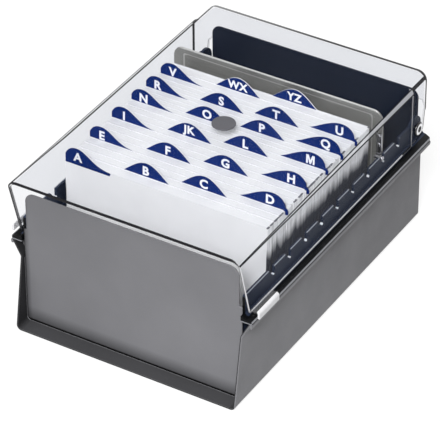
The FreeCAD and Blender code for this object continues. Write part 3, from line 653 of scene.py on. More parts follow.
def paper_finish(name, pale, deep, gloss=0.62, marks=None):
    """Plain stock: fibre flecks in colour, bump and roughness."""
    material, tree = start_finish(name)
    grain = fibres(tree)
    tone = blended(tree, grain, deep, pale)
    if marks:
        tone = marks(tree, tone)
    return close_finish(material, tree, Base_Color=tone,
                        Roughness=between(tree, grain, gloss - 0.05, gloss + 0.05, 0, 1),
                        Normal=bumped(tree, grain, 0.006), Specular_IOR_Level=0.3)


def guide_finish(name):
    """Stock that turns to blue print where the attribute "print" is above zero."""
    material, tree = start_finish(name)
    grain = fibres(tree)
    stock = edge_marks(tree, blended(tree, grain, PAPER_SHADE, PAPER_WHITE))
    ink = blended(tree, grain, TAB_BLUE_DEEP, TAB_BLUE)
    edge = between(tree, attribute(tree, "print"), 0, 1, -0.03, 0.03)
    tone = blended(tree, edge, stock, ink)
    dull = between(tree, grain, 0.42, 0.55, 0, 1)
    return close_finish(material, tree, Base_Color=tone, Roughness=dull,
                        Normal=bumped(tree, grain, 0.005), Specular_IOR_Level=0.06)


CARD_STOCK = paper_finish("card stock", PAPER_WHITE, PAPER_SHADE, marks=edge_marks)
# The guides' cut edge is the card stock made a little darker: painted shade, to match the shade
# between the blank cards' tops.
CARD_EDGE = paper_finish("guide edge", (0.82, 0.83, 0.855), (0.78, 0.79, 0.815), marks=edge_marks)
GUIDE_STOCK = guide_finish("guide stock")
LETTER_INK = paper_finish("letter ink", (0.88, 0.89, 0.92), (0.84, 0.85, 0.88), 0.5)
print("paper finishes: card stock, guide edge, guide stock, letter ink")

# %% [markdown]
# ### Clear plastic
# The cover is a clear moulding about a millimetre thick. On its flat parts it is a faint gray
# window with a weak gloss. Along each bend the plastic gathers and bends light. The right bend
# shows two thin dark lines with a pale band between them, which open out from front to rear, and
# the left one shows its dark outline with a thin line inside it. A traced glass shader would also
# draw lines, but they would change with every lamp. Here they follow three attributes of the
# sheet: "across", the distance up round the bend, "along", the distance from front to rear, and
# "edge", the height above the sides' lower edge. The cut rim has a finish of its own.

# %% The clear window
WINDOW_TINT = (0.930, 0.934, 0.944)
LINE_TONE = (0.008, 0.008, 0.010)
BAND_TONE = (0.74, 0.75, 0.80)
GLARE_POWER, GLARE_MOST, GLARE_LEAST = 5.0, 0.07, 0.001


def window(tree, tint, gloss):
    """A tinted see-through sheet whose weak gloss grows with the fifth power of the tilt."""
    path = node(tree, "ShaderNodeLightPath")
    light = highest(tree, path.outputs["Is Shadow Ray"], path.outputs["Is Diffuse Ray"])
    shade = blended(tree, light, tint, (0.99, 0.99, 0.99))
    clear = node(tree, "ShaderNodeBsdfTransparent", {"Color": shade})
    shine = node(tree, "ShaderNodeBsdfGlossy", {"Color": (1, 1, 1, 1), "Roughness": gloss})
    tilt = node(tree, "ShaderNodeLayerWeight", {"Blend": 0.5}).outputs["Facing"]
    weak = calc(tree, "MULTIPLY_ADD", calc(tree, "POWER", tilt, GLARE_POWER), GLARE_MOST,
                GLARE_LEAST)
    return shaders_mixed(tree, weak, clear.outputs[0], shine.outputs[0])


print("the window's gloss:", GLARE_LEAST, "face on to", GLARE_LEAST + GLARE_MOST, "edge on")

# %% Lines on the cover
# A line holds the place of its middle and half its width, in mm; a fade is as above.
STEP_ALONG = JOGGLE_FROM - COVER_FRONT + 0.6
FRONT_END, REAR_END, SET_IN_END = 0.55, 165.0, 164.0
SIDE_END, FLAT_FROM, STEP_LINE_END = 4.6, 5.0, 3.2
BEND_MIDDLE, OPENING_FADE = 2.45, (0.15, 1.30, 0, 150)
LOWER_WIDTH, UPPER_WIDTH, INNER_WIDTH = 0.36, 0.28, 0.55
INNER_FADE = (5.4, 6.7, 0, 40)
LEFT_OUTER, LEFT_OUTER_SHARE = (3.1, 1.7), 0.85
LEFT_REAR, LEFT_REAR_SHARE = (4.7, 2.2), 0.9
STEP_LINE, SET_IN_LINE = (151.9, 0.5), (3.0, 1.1)
REAR_LINE, REAR_LINE_FADE = (164.9, 1.25), (0.75, 1.0, -52, 10)
LOW_EDGE, STEP_GLINT = (0.2, 0.35), (150.2, 0.4)
LINE_SHARE, PALE_SHARE = 0.98, 0.55
INNER_EDGE, INNER_EDGE_SIDE, INNER_EDGE_SHARE = 0.8, -50.0, 0.85


def right_bend(tree, across, along):
    """Two thin lines that open out from front to rear about the bend's middle, and the share
    between them."""
    opening = between(tree, along, *OPENING_FADE)
    low = calc(tree, "SUBTRACT", BEND_MIDDLE, opening)
    high = calc(tree, "ADD", BEND_MIDDLE, opening)
    lines = highest(tree, stripe(tree, across, low, LOWER_WIDTH),
                    stripe(tree, across, high, UPPER_WIDTH))
    band = product(tree, calc(tree, "GREATER_THAN", across, low),
                   calc(tree, "LESS_THAN", across, high))
    return lines, band


def left_bend(tree, across, along, before_step):
    """The outer line where the bend turns out of sight, broader behind the step, and the thin
    inner line that runs beside it up to the step."""
    inner = stripe(tree, across, between(tree, along, *INNER_FADE), INNER_WIDTH)
    outer = product(tree, stripe(tree, across, *LEFT_OUTER), LEFT_OUTER_SHARE)
    rear = product(tree, stripe(tree, across, *LEFT_REAR), rest_of(tree, before_step),
                   LEFT_REAR_SHARE)
    return highest(tree, product(tree, inner, before_step), outer, rear)


def sheet_lines(tree):
    """The shares of dark line and of pale band on the outer wall, by place on the sheet."""
    across = attribute(tree, "across")
    along = attribute(tree, "along")
    x = spot_of(tree)[0]
    on_right = above(tree, x, 0.0)
    on_left = rest_of(tree, on_right)
    before_step = under(tree, along, STEP_ALONG)
    on_flat = above(tree, across, FLAT_FROM)
    right_lines, right_band = right_bend(tree, across, along)
    dark = highest(
        tree,
        product(tree, stripe(tree, along, *REAR_LINE), highest(tree, on_right, on_flat),
                between(tree, x, *REAR_LINE_FADE)),
        product(tree, under(tree, along, FRONT_END), on_flat),
        product(tree, rest_of(tree, before_step), on_right, under(tree, along, SET_IN_END),
                stripe(tree, across, *SET_IN_LINE)),
        product(tree, on_right, before_step, right_lines),
        product(tree, on_left, under(tree, along, REAR_END),
                left_bend(tree, across, along, before_step)),
        product(tree, on_left, stripe(tree, along, *STEP_LINE), under(tree, across, STEP_LINE_END)))
    pale = highest(
        tree,
        product(tree, right_band, on_right, before_step),
        stripe(tree, attribute(tree, "edge"), *LOW_EDGE),
        product(tree, stripe(tree, along, *STEP_GLINT), under(tree, across, SIDE_END), on_right))
    return product(tree, dark, LINE_SHARE), product(tree, pale, PALE_SHARE)


def inner_wall_line(tree):
    """The dark line down the raked front edge of the inner wall, on the left side alone."""
    x, y, z = spot_of(tree)
    edge = calc(tree, "MULTIPLY_ADD", calc(tree, "SUBTRACT", COVER_TOP, z), COVER_RAKE, COVER_FRONT)
    return product(tree, under(tree, calc(tree, "SUBTRACT", y, edge), INNER_EDGE),
                   under(tree, x, INNER_EDGE_SIDE), INNER_EDGE_SHARE)


print("the sides step in", round(STEP_ALONG, 1), "mm behind the cover's front")


# %% Clear plastic
def clear_finish(name, lined):
    """The window with its lines painted over it: those of the bends on the lined outer wall, and
    one front edge on the inner wall."""
    material, tree = start_finish(name)
    cloud = noise(tree, place_of(tree), 22, 3)
    tint = blended(tree, between(tree, cloud, 0, 1), times(0.99, WINDOW_TINT), WINDOW_TINT)
    surface = window(tree, tint, between(tree, cloud, 0.01, 0.05))
    if lined:
        lines, band = sheet_lines(tree)
        pale = node(tree, "ShaderNodeBsdfPrincipled", {
            "Base Color": blended(tree, cloud, BAND_TONE, times(0.9, BAND_TONE)),
            "Roughness": 0.2})
        surface = shaders_mixed(tree, band, surface, pale.outputs[0])
    else:
        lines = inner_wall_line(tree)
    dark = node(tree, "ShaderNodeBsdfPrincipled", {
        "Base Color": blended(tree, cloud, LINE_TONE, times(1.3, LINE_TONE)),
        "Roughness": 0.25, "Specular IOR Level": 0.1})
    surface = shaders_mixed(tree, lines, surface, dark.outputs[0])
    node(tree, "ShaderNodeOutputMaterial", {"Surface": surface})
    return material


CLEAR_PLASTIC = clear_finish("clear plastic", False)
CLEAR_LINED = clear_finish("clear plastic with bends", True)
print("clear finishes: clear plastic, clear plastic with bends")

# %% The cover's rim and grips
# The rim's black, dark gray and pale tones are painted shade and painted light on a clear edge.
RIM_LEFT, RIM_RIGHT, RIM_INNER = (0.045, 0.045, 0.050), (0.70, 0.70, 0.72), (0.10, 0.10, 0.11)
RIM_SIDE_TOP, RIM_SIDE_REAR, RIM_PALE_FROM = 76.5, 60.0, 57.0
RIM_BEND_FROM = COVER_CORNER - 0.7
RIM_TOP_FROM, RIM_SIDE_FROM = 78.22, COVER_HALF - 1.05
RIM_GLOSS = 0.1
LIP_FROM = GRIP_OUT - 1.3
# The grip's turned-down lip is nearly white and opaque; the flange that carries it is clear.
WHITE_LIP_FADE, WHITE_LIP_LEAST = (0.80, 0.88), 0.06


def rim_finish(name):
    """The cut rim, in painted shade and light: black along the top and round its corners, dark gray
    down the left side and pale down the right one. Its inner half, toward the cards, is nearly
    clear."""
    material, tree = start_finish(name)
    cloud = noise(tree, place_of(tree), 1.5, 3)
    x, y, z = spot_of(tree)
    out = calc(tree, "ABSOLUTE", x)
    side = under(tree, z, RIM_SIDE_TOP, 1.0)
    right = product(tree, side, above(tree, x, 0.0), under(tree, y, RIM_SIDE_REAR))
    tone = blended(tree, product(tree, side, under(tree, x, 0.0)), LINE_TONE, RIM_LEFT)
    tone = blended(tree, right, tone, RIM_RIGHT)
    tone = blended(tree, product(tree, right, under(tree, out, RIM_PALE_FROM)), tone, RIM_INNER)
    bend = product(tree, above(tree, reach_from(tree, out, z, (BEND_X, BEND_Z)), RIM_BEND_FROM),
                   above(tree, out, BEND_X), above(tree, z, BEND_Z))
    outer = highest(tree, above(tree, z, RIM_TOP_FROM, 0.02),
                    above(tree, out, RIM_SIDE_FROM, 0.04), bend)
    solid = node(tree, "ShaderNodeBsdfPrincipled", {
        "Base Color": tone, "Roughness": between(tree, cloud, 0.3, 0.5),
        "Specular IOR Level": 0.1, "Normal": bumped(tree, cloud, 0.01)})
    surface = shaders_mixed(tree, between(tree, outer, 0.15, 1.0, 0, 1),
                            window(tree, WINDOW_TINT, RIM_GLOSS), solid.outputs[0])
    node(tree, "ShaderNodeOutputMaterial", {"Surface": surface})
    return material


def grip_finish(name):
    """The turned-down lip of the finger grip is nearly white and opaque; the flange that carries it
    is clear.
    """
    material, tree = start_finish(name)
    cloud = noise(tree, place_of(tree), 3.0, 3)
    solid = node(tree, "ShaderNodeBsdfPrincipled", {
        "Base Color": blended(tree, cloud, (0.80, 0.80, 0.82), (0.90, 0.90, 0.92)),
        "Roughness": between(tree, cloud, 0.25, 0.4), "Normal": bumped(tree, cloud, 0.02)})
    out = calc(tree, "ABSOLUTE", spot_of(tree)[0])
    share = calc(tree, "MULTIPLY_ADD", above(tree, out, LIP_FROM),
                 between(tree, cloud, *WHITE_LIP_FADE), WHITE_LIP_LEAST)
    surface = shaders_mixed(tree, share, window(tree, WINDOW_TINT, RIM_GLOSS), solid.outputs[0])
    node(tree, "ShaderNodeOutputMaterial", {"Surface": surface})
    return material


CLEAR_RIM = rim_finish("clear rim")
WHITE_LIP = grip_finish("white-lipped plastic")
print("clear finishes: clear rim, white-lipped plastic")

# %% [markdown]
# ## The steel tray
# The real tray is one sheet folded up at both sides. Its walls lean out near the top and end in a
# hem, which is the sheet folded back on itself. The front ends of the walls are cut at a slant. A
# strip bent along a path gives the folds their true inside and outside radii.

# %% Tray shell
HEM, HEM_BACK = 2.2, 0.55
FOLD, FLARE_BEND, HEM_BEND = 2.0, 3.0, 0.44
WALL_RAKE = 6.0
SHELL_EDGE = 0.18


def tray_shell():
    """The path runs along the middle of the steel, from one hem down, across and up to the other.
    Its front end moves back by WALL_RAKE times the share of the wall's height that is reached."""
    middle = STEEL / 2
    wall_x = HALF_TRAY - middle
    floor_z = PAD_HEIGHT + middle
    lip_x = HALF_TRAY + FLARE_OUT - STEEL - middle
    hem_first = [(lip_x + HEM_BACK, LIP_TOP - HEM), (lip_x + STEEL, LIP_TOP - middle),
                 (lip_x, LIP_TOP - middle), (wall_x, WALL_TOP), (wall_x, floor_z)]
    radii = [HEM_BEND, HEM_BEND, FLARE_BEND, FOLD]
    path = bent_path(mirrored(hem_first), radii + radii[::-1])
    slant = np.clip((path[:, 1] - floor_z) / (WALL_TOP - floor_z), 0, 1)
    front = BASE_FRONT + WALL_RAKE * slant
    return new_piece("tray_shell", *bent_strip(path, STEEL, "XZ", front, BASE_REAR))


shell = soften(tray_shell(), SHELL_EDGE)
finish_piece(shell, "tray", SHELL_ENAMEL, ["shell"])

# %% [markdown]
# ## The end panels
# Each end is a pressed plate with rounded top corners, set between the walls. Its sides step in
# above the rails so that the cover can close round it, and flanges turn back to be welded to the
# walls and the floor.

# %% End panels
PANEL_HALF = 54.8
PANEL_STEP = 50.5
PANEL_CORNER = 4.5
PANEL_FLANGE = 8.0
FOOT_HALF = 39.0
TRAY_FLOOR = PAD_HEIGHT + STEEL
FLANGE_LOW, FLANGE_TOP = 4.6, 28.8
FRONT_FACE, FRONT_HALF, FRONT_TOP = -76.3, 53.3, 70.1
REAR_FACE, REAR_HALF, REAR_TOP = 79.7, 53.9, 69.7
PANEL_FOOT_ROUND, PANEL_SIDE_ROUND, STEP_ROUND = 1.7, 0.6, 0.3
PANEL_EDGE = 0.3


def panel_outline(half, top):
    """The plate: wide below, stepped in at the rails, its top corners rounded."""
    corners = mirrored([(PANEL_HALF, TRAY_FLOOR), (PANEL_HALF, PANEL_STEP), (half, PANEL_STEP),
                        (half, top)])
    radii = [PANEL_FOOT_ROUND, PANEL_SIDE_ROUND, STEP_ROUND, PANEL_CORNER]
    return rounded(corners, radii + radii[::-1], 10)


def end_panel(name, face, half, top, inward, material, replaced):
    """A plate with a foot flange and two side flanges that point inward, 1 or -1 along Y."""
    back = face + STEEL if inward > 0 else face
    span = sorted((back, back + inward * PANEL_FLANGE))
    plate = prism(panel_outline(half, top), "XZ", face, face + STEEL)
    foot = prism([(-FOOT_HALF, TRAY_FLOOR), (FOOT_HALF, TRAY_FLOOR),
                  (FOOT_HALF, TRAY_FLOOR + STEEL), (-FOOT_HALF, TRAY_FLOOR + STEEL)], "XZ", *span)
    inner, outer = PANEL_HALF - STEEL, PANEL_HALF
    sides = [prism([(sign * inner, FLANGE_LOW), (sign * outer, FLANGE_LOW),
                    (sign * outer, FLANGE_TOP), (sign * inner, FLANGE_TOP)], "XZ", *span)
             for sign in (-1, 1)]
    piece = soften(new_piece(name, *joined(plate, foot, *sides)), PANEL_EDGE, segments=3)
    return finish_piece(piece, "tray", material, [replaced])


end_panel("front_plate", FRONT_FACE, FRONT_HALF, FRONT_TOP, 1, PLATE_ENAMEL, "front_panel")
end_panel("rear_plate", REAR_FACE, REAR_HALF, REAR_TOP, -1, NAVY_ENAMEL, "rear_panel")

# %% [markdown]
# ## The card bed and the pads
# The raised bed is a plain folded channel and the pads are plain discs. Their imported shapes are
# right as they are, so they stay, and only get a better finish.

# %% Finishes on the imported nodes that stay
def refinish(name, material):
    """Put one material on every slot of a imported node."""
    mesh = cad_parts[name].data
    mesh.materials.clear()
    mesh.materials.append(material)
    print("kept node", name, "gets", material.name)


refinish("card_bed", NAVY_ENAMEL)
refinish("foot_pads", PAD_RUBBER)

# %% [markdown]
# ## The toothed rails
# Each rail is a plastic moulding that clips over the steel wall: a thin toothed wall for the
# follower's latch, a skirt inside, and a ledge that hides the flared lip. Its rear end rises into a
# round ear for the cover's hinge. The side view of the toothed wall is one outline, pushed sideways
# through the wall's thickness.

# %% Rails
RAIL_NOSE, NOSE_ROUND = 9, 1.5
EAR_STEPS = 40
LEDGE_STATIONS, CORNER_STATIONS, LEDGE_CHAMFER = 12, 9, 0.8
ROOT_OUT, ROOT_RISE, WEB_OUT, WEB_RISE = 1.9, 1.1, 0.7, 0.25
RAIL_EDGE = 0.16


def rail_outline():
    """Side view: up the front, along the teeth, round the ear and back along the ledge. Every
    notch is the same four corners, moved on by the pitch; the ear is an arc about the hinge."""
    face = FIRST_NOTCH + NOTCH_PITCH * np.arange(NOTCHES)
    corners = ((-NOTCH_LENGTH, RAIL_TOP), (-NOTCH_FLOOR, NOTCH_BOTTOM), (0, NOTCH_BOTTOM),
               (0, RAIL_TOP))
    gaps = np.stack([np.stack([face + ahead, np.full(NOTCHES, level)], 1)
                     for ahead, level in corners], 1).reshape(-1, 2)
    start = math.pi - math.asin((RAIL_TOP - HINGE_Z) / EAR_RADIUS)
    end = -math.acos((RAIL_REAR - HINGE_Y) / EAR_RADIUS)
    turn = np.linspace(start, end, EAR_STEPS)
    ear = np.stack([HINGE_Y + EAR_RADIUS * np.cos(turn), HINGE_Z + EAR_RADIUS * np.sin(turn)], 1)
    nose = rounded([(RAIL_FRONT, LIP_TOP), (RAIL_FRONT, RAIL_TOP),
                    (RAIL_FRONT + RAIL_NOSE, RAIL_TOP)], [0, NOSE_ROUND, 0])
    front = nose[ARC_STEPS + 1:2 * ARC_STEPS + 2]
    return np.concatenate([[(RAIL_FRONT, LIP_TOP)], front, gaps, ear, [(RAIL_REAR, LIP_TOP)]])


def ledge(sign):
    """The ledge: its section's outer edge is carried along Y, and swings in at the rear corner.
    On the corner the edge is LEDGE_CORNER * (1 - cos) further in, at LEDGE_CORNER * sin on."""
    turn = np.linspace(0, math.pi / 2, CORNER_STATIONS)[1:]
    straight = np.linspace(LEDGE_FRONT + LEDGE_CHAMFER, LEDGE_REAR - LEDGE_CORNER, LEDGE_STATIONS)
    run = np.concatenate([[LEDGE_FRONT], straight,
                          LEDGE_REAR - LEDGE_CORNER + LEDGE_CORNER * np.sin(turn)])
    inward = np.concatenate([[LEDGE_CHAMFER], np.zeros(LEDGE_STATIONS),
                             LEDGE_CORNER * (1 - np.cos(turn))])
    edge = LEDGE_OUT - inward
    section = ((LEDGE_IN, LIP_TOP), (edge, LIP_TOP), (edge, LEDGE_EDGE),
               (RAIL_OUT + ROOT_OUT, LEDGE_ROOT), (RAIL_OUT + WEB_OUT, LEDGE_ROOT + WEB_RISE),
               (RAIL_OUT, LEDGE_ROOT + ROOT_RISE), (LEDGE_IN, LEDGE_ROOT + ROOT_RISE))
    lines = [np.stack(np.broadcast_arrays(sign * x, run, z), 1) for x, z in section]
    return loft(np.stack(lines, 1))


def rail(name, sign):
    """Toothed wall, skirt and ledge of one side as one moulding."""
    wall = prism(rail_outline(), "YZ", *sorted((sign * RAIL_IN, sign * RAIL_OUT)))
    skirt = prism([(RAIL_FRONT, SKIRT_LOW), (RAIL_REAR, SKIRT_LOW), (RAIL_REAR, LEDGE_EDGE),
                   (RAIL_FRONT, LEDGE_EDGE)], "YZ", *sorted((sign * SKIRT_IN, sign * SKIRT_OUT)))
    return soften(new_piece(name, *joined(wall, skirt, ledge(sign))), RAIL_EDGE, angle=30)


for side, sign in (("left", -1), ("right", 1)):
    finish_piece(rail(f"toothed_rail_{side}", sign), "tray", NAVY_PLASTIC,
                 [f"ratchet_rail_{side}"])

# %% [markdown]
# ## The hinge rivets
# Hollow rivets join the ears to the cover. A rivet is a turned part: a rolled ring outside, a thin
# shank through both walls and a flat tail inside. Its profile is turned about the hinge line.

# %% Hinge rivets
HEAD_X = COVER_HALF_REAR + 0.06
HEAD_RADIUS, HEAD_RISE, HEAD_FOOT, BORE = 3.4, 1.1, 0.25, 0.8
TAIL_X, TAIL_RADIUS, TAIL_THICK = 53.57, 2.6, 0.7
TAIL_ROUND = ((0.7, -0.1), (0.5, 0), (0.15, 0), (0, -0.2))
SHANK, RIVET_CHAMFER = 1.5, 0.1
ROLL_STEPS, RIVET_SEGMENTS = 15, 56


def hinge_rivet(name, sign):
    """The rolled head is half an ellipse between bore and rim: rise * sin over the half turn. The
    tail's rim is given by its corners, as steps from the tail's face and radius."""
    roll = np.linspace(math.pi, 0, ROLL_STEPS)
    centre = (HEAD_RADIUS + BORE) / 2
    head = np.stack([HEAD_X + HEAD_FOOT + (HEAD_RISE - HEAD_FOOT) * np.sin(roll),
                     centre + (HEAD_RADIUS - centre) * np.cos(roll)], 1)
    shank = [(HEAD_X, HEAD_RADIUS - RIVET_CHAMFER), (HEAD_X, SHANK), (TAIL_X + TAIL_THICK, SHANK)]
    tail = np.add(TAIL_ROUND, (TAIL_X, TAIL_RADIUS))
    profile = np.concatenate([head, shank, tail, [(TAIL_X, BORE)]]) * [sign, 1]
    return new_piece(name, *turned(profile, "YZ", (HINGE_Y, HINGE_Z), RIVET_SEGMENTS, hollow=True))


for side, sign in (("left", -1), ("right", 1)):
    finish_piece(hinge_rivet(f"hinge_rivet_{side}", sign), "tray", RIVET_NICKEL,
                 [f"hinge_pin_{side}"])

# %% [markdown]
# ## The follower
# The follower is a steel plate with a pressed border. It stands behind the last guide, on a foot
# that slides along the bed. Two flat springs riveted to its ends carry latches that drop into the
# teeth of the rails. The pressed field has the outline's own corners, moved in and back, so that
# plain bands of faces join the two.

# %% Follower plate
EDGE_ROUND, THIN_EDGE = 0.2, 0.12
STEP_DROP, LOW_ROUND, STEP_BEND = 0.3, 0.4, 0.05
PLATE_CORNER, FIELD_CORNER, SUNK_CORNER = 5.0, 3.0, 2.4
FIELD_DEPTH, FIELD_WALL, FIELD_DRAFT = 0.35, 0.7, 0.01
PLATE_ARC = 8
FOOT_LENGTH, FOOT_INSET = 14, 1.6


def follower_loop(half, low_half, low, top, corner, y):
    """One closed loop of the plate at a depth y; every loop has the same corners."""
    corners = mirrored([(low_half, low), (low_half, FOLLOWER_STEP - STEP_DROP),
                        (half, FOLLOWER_STEP), (half, top)])
    radii = [LOW_ROUND, STEP_BEND, STEP_BEND, corner]
    outline = rounded(corners, radii + radii[::-1], PLATE_ARC)
    return in_space("XZ", outline[:, 0], outline[:, 1], y)


def pressed_plate():
    """Six loops, from the sunk field over its sloping wall and the rounded edge to the back, and a
    foot that runs rearward along the bed."""
    half, low_half, low, top = FOLLOWER_HALF, FOLLOWER_LOW_HALF, FOLLOWER_BOTTOM, FOLLOWER_TOP
    wall, edge = FIELD_WALL, EDGE_ROUND
    outer = (half, low_half, low, top, PLATE_CORNER)
    inset = (half - edge, low_half - edge, low, top - edge, PLATE_CORNER - edge)
    field = (FIELD_HALF, FIELD_HALF - FIELD_DRAFT, FIELD_LOW, FIELD_TOP, FIELD_CORNER)
    sunk = (FIELD_HALF - wall, FIELD_HALF - wall - FIELD_DRAFT, FIELD_LOW + wall,
            FIELD_TOP - wall, SUNK_CORNER)
    plate = loft([follower_loop(*sunk, FOLLOWER_FACE + FIELD_DEPTH),
                  follower_loop(*field, FOLLOWER_FACE), follower_loop(*inset, FOLLOWER_FACE),
                  follower_loop(*outer, FOLLOWER_FACE + edge),
                  follower_loop(*outer, FOLLOWER_BACK - edge),
                  follower_loop(*inset, FOLLOWER_BACK)])
    half_thick = FOLLOWER_THICK / 2
    foot_half = low_half - FOOT_INSET
    foot = bent_strip([(FOLLOWER_BACK - half_thick, low + half_thick),
                       (FOLLOWER_BACK + FOOT_LENGTH, low + half_thick)],
                      FOLLOWER_THICK, "YZ", -foot_half, foot_half)
    return new_piece("follower_plate_pressed", *joined(plate, foot))


finish_piece(soften(pressed_plate(), THIN_EDGE, angle=40), "follower",
             FOLLOWER_STEEL, ["follower_plate"])

# %% Springs and rivets
SPRING_X, SPRING_WIDTH, SPRING_THICK = 52.65, 2.6, 0.8
SPRING_TOP, SPRING_BEND, SPRING_SHORT = 66.0, 6, 0.1
ARM_SHARE, LATCH_EDGE = 0.8, 0.1
LATCH_Y, LATCH_Z, LATCH_RADIUS = 44.6, 54.1, 1.2
LATCH_DIP, LATCH_END = 0.7, 55.7
BAR_CHAMFER, BAR_END_SHARE = 0.3, 0.7
RIVET_PITCH, RIVET_INSET = 4.5, 2.5
DOME_RISE, DOME_RADIUS, DOME_FLAT = 0.45, 0.98, 0.02
RIVET_SHANK = 0.6
CURL_STEPS, DOME_STEPS = 10, 6


def latch_spring(name, sign):
    """A strip down the plate that curls forward, with a round latch foot over the rail. The curl
    is half an ellipse: reach * cos forward and LATCH_DIP * sin down."""
    middle_y = FOLLOWER_FACE - SPRING_THICK / 2
    curl = np.linspace(0, math.pi, CURL_STEPS)[1:]
    reach = middle_y - LATCH_Y
    hook = np.stack([LATCH_Y + reach * np.cos(curl), LATCH_Z - LATCH_DIP * np.sin(curl)], 1)
    path = np.concatenate([[(middle_y, SPRING_TOP - SPRING_SHORT),
                            (middle_y, LATCH_Z + SPRING_BEND), (middle_y, LATCH_Z)], hook])
    inner = SPRING_X - SPRING_WIDTH / 2
    across = sorted((sign * inner, sign * (SPRING_X + SPRING_WIDTH / 2)))
    arm = bent_strip(path, SPRING_THICK * ARM_SHARE, "YZ", *across)
    end_radius = LATCH_RADIUS * BAR_END_SHARE
    profile = np.array([(inner, end_radius), (inner + BAR_CHAMFER, LATCH_RADIUS),
                        (LATCH_END - BAR_CHAMFER, LATCH_RADIUS), (LATCH_END, end_radius)])
    bar = turned(profile * [sign, 1], "YZ", (LATCH_Y, LATCH_Z), segments=32)
    return soften(new_piece(name, *joined(arm, bar)), LATCH_EDGE, angle=40)


def rivet_heads(name):
    """Domed heads front and back on a short shank: radius * cos and rise * sin on each dome."""
    turn = np.linspace(math.pi / 2, 0, DOME_STEPS)
    dome = np.stack([DOME_RISE * np.sin(turn), DOME_FLAT + DOME_RADIUS * np.cos(turn)], 1)
    near = FOLLOWER_FACE - SPRING_THICK
    shank = [(near, RIVET_SHANK), (FOLLOWER_BACK, RIVET_SHANK)]
    profile = np.concatenate([dome * [-1, 1] + [near, 0], shank,
                              (dome + [FOLLOWER_BACK, 0])[::-1]])
    top = SPRING_TOP - RIVET_INSET / 2
    parts = [turned(profile, "XZ", (sign * SPRING_X, top - level * RIVET_PITCH), segments=28)
             for sign in (-1, 1) for level in range(2)]
    return new_piece(name, *joined(*parts))


for side, sign in (("left", -1), ("right", 1)):
    finish_piece(latch_spring(f"latch_spring_{side}", sign), "follower", NICKEL,
                 [f"follower_spring_{side}"])
finish_piece(rivet_heads("follower_rivet_heads"), "follower", NICKEL,
             ["follower_rivets"])

# %% [markdown]
# ## The guides
# Twenty-three guides divide the cards. Each is a stiff card with one humped tab, and the tabs step
# across from left to right. The left, middle and right tabs have their own humps: a hump is a smooth
# curve through a few heights along the tab. One flat outline per guide is pushed through the card's
# thickness and leaned back with the rest of the pack.

# %% Guide sizes
LEAN = math.radians(2.5)
GUIDE_THICK = 0.5
TAB_WIDTH, TAB_RISE = 22.7, 6.8
TAB_COLUMNS = 4
ROWS = (("a", "b", "c", "d"), ("e", "f", "g", "h"), ("i", "jk", "l", "m"), ("n", "o", "p", "q"),
        ("r", "s", "t", "u"), ("v", "wx", "yz"))
GUIDES = [name for row in ROWS for name in row]
COLUMN = {name: number for row in ROWS for number, name in enumerate(row)}
TAB_PITCH = (CARD_WIDTH - TAB_WIDTH) / (TAB_COLUMNS - 1)

LEFT_HUMP = [(0, 0.42), (0.035, 0.62), (0.09, 0.82), (0.18, 0.97), (0.28, 1.0), (0.42, 0.84),
             (0.52, 0.63), (0.66, 0.33), (0.80, 0.12), (0.905, 0.04), (1, 0)]
MIDDLE_HUMP = [(0, 0), (0.11, 0.31), (0.226, 0.62), (0.34, 0.86), (0.43, 0.97), (0.51, 1.0),
               (0.60, 0.95), (0.69, 0.81), (0.79, 0.58), (0.87, 0.36), (0.94, 0.15), (1, 0)]
RIGHT_HUMP = [(0, 0), (0.137, 0.22), (0.26, 0.46), (0.386, 0.69), (0.51, 0.87), (0.614, 0.97),
              (0.70, 1.0), (0.80, 0.96), (0.88, 0.85), (0.95, 0.63), (0.985, 0.40), (1, 0.12)]
HUMPS = (LEFT_HUMP, MIDDLE_HUMP, MIDDLE_HUMP, RIGHT_HUMP)


def smooth_curve(knots, count=56):
    """A cubic through the knots: on each stretch the height follows the Hermite polynomial of its
    end heights and of the slopes there, which are those of the neighbouring knots."""
    along, height = np.asarray(knots, float).T
    slope = np.gradient(height, along)
    where = np.linspace(0, 1, count)
    k = np.clip(np.searchsorted(along, where, side="right") - 1, 0, len(along) - 2)
    step = along[k + 1] - along[k]
    t = (where - along[k]) / step
    value = ((2 * t**3 - 3 * t**2 + 1) * height[k] + (t**3 - 2 * t**2 + t) * step * slope[k]
             + (3 * t**2 - 2 * t**3) * height[k + 1] + (t**3 - t**2) * step * slope[k + 1])
    return where, np.clip(value, 0, 1)


def leaning(across, height, depth, foot_y):
    """Points of a card that leans back: height and depth are turned by the lean about its foot."""
    across, height, depth = np.broadcast_arrays(across, height, depth)
    y = foot_y + depth * math.cos(LEAN) + height * math.sin(LEAN)
    z = CARD_REST - depth * math.sin(LEAN) + height * math.cos(LEAN)
    return np.stack([across, y, z], -1)


def foot_of(name):
    """Where the guide stands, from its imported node: the low front edge."""
    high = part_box(f"guide_{name}")[1]
    top = (CARD_HEIGHT + TAB_RISE) * math.sin(LEAN)
    return high.y / MM - top - GUIDE_THICK * math.cos(LEAN)


print("guides:", len(GUIDES))


# %% Guides
PRINT_BELOW = 1.5
INK_FACE, INK_IN, INK_SLANT = -0.03, 0.02, 0.5
FACE_ON = 0.9
EAR_CORNERS = ((-1.1, -1.2), (0.1, -2.1), (1.1, -1.8), (1.1, -0.2), (-0.1, 1.2), (-1.1, 1.2))


def mark_print(mesh, level):
    """Store the height above the blank cards, which the stock's finish reads, at every point."""
    mesh.attributes.new("print", "FLOAT", "POINT").data.foreach_set("value", level)


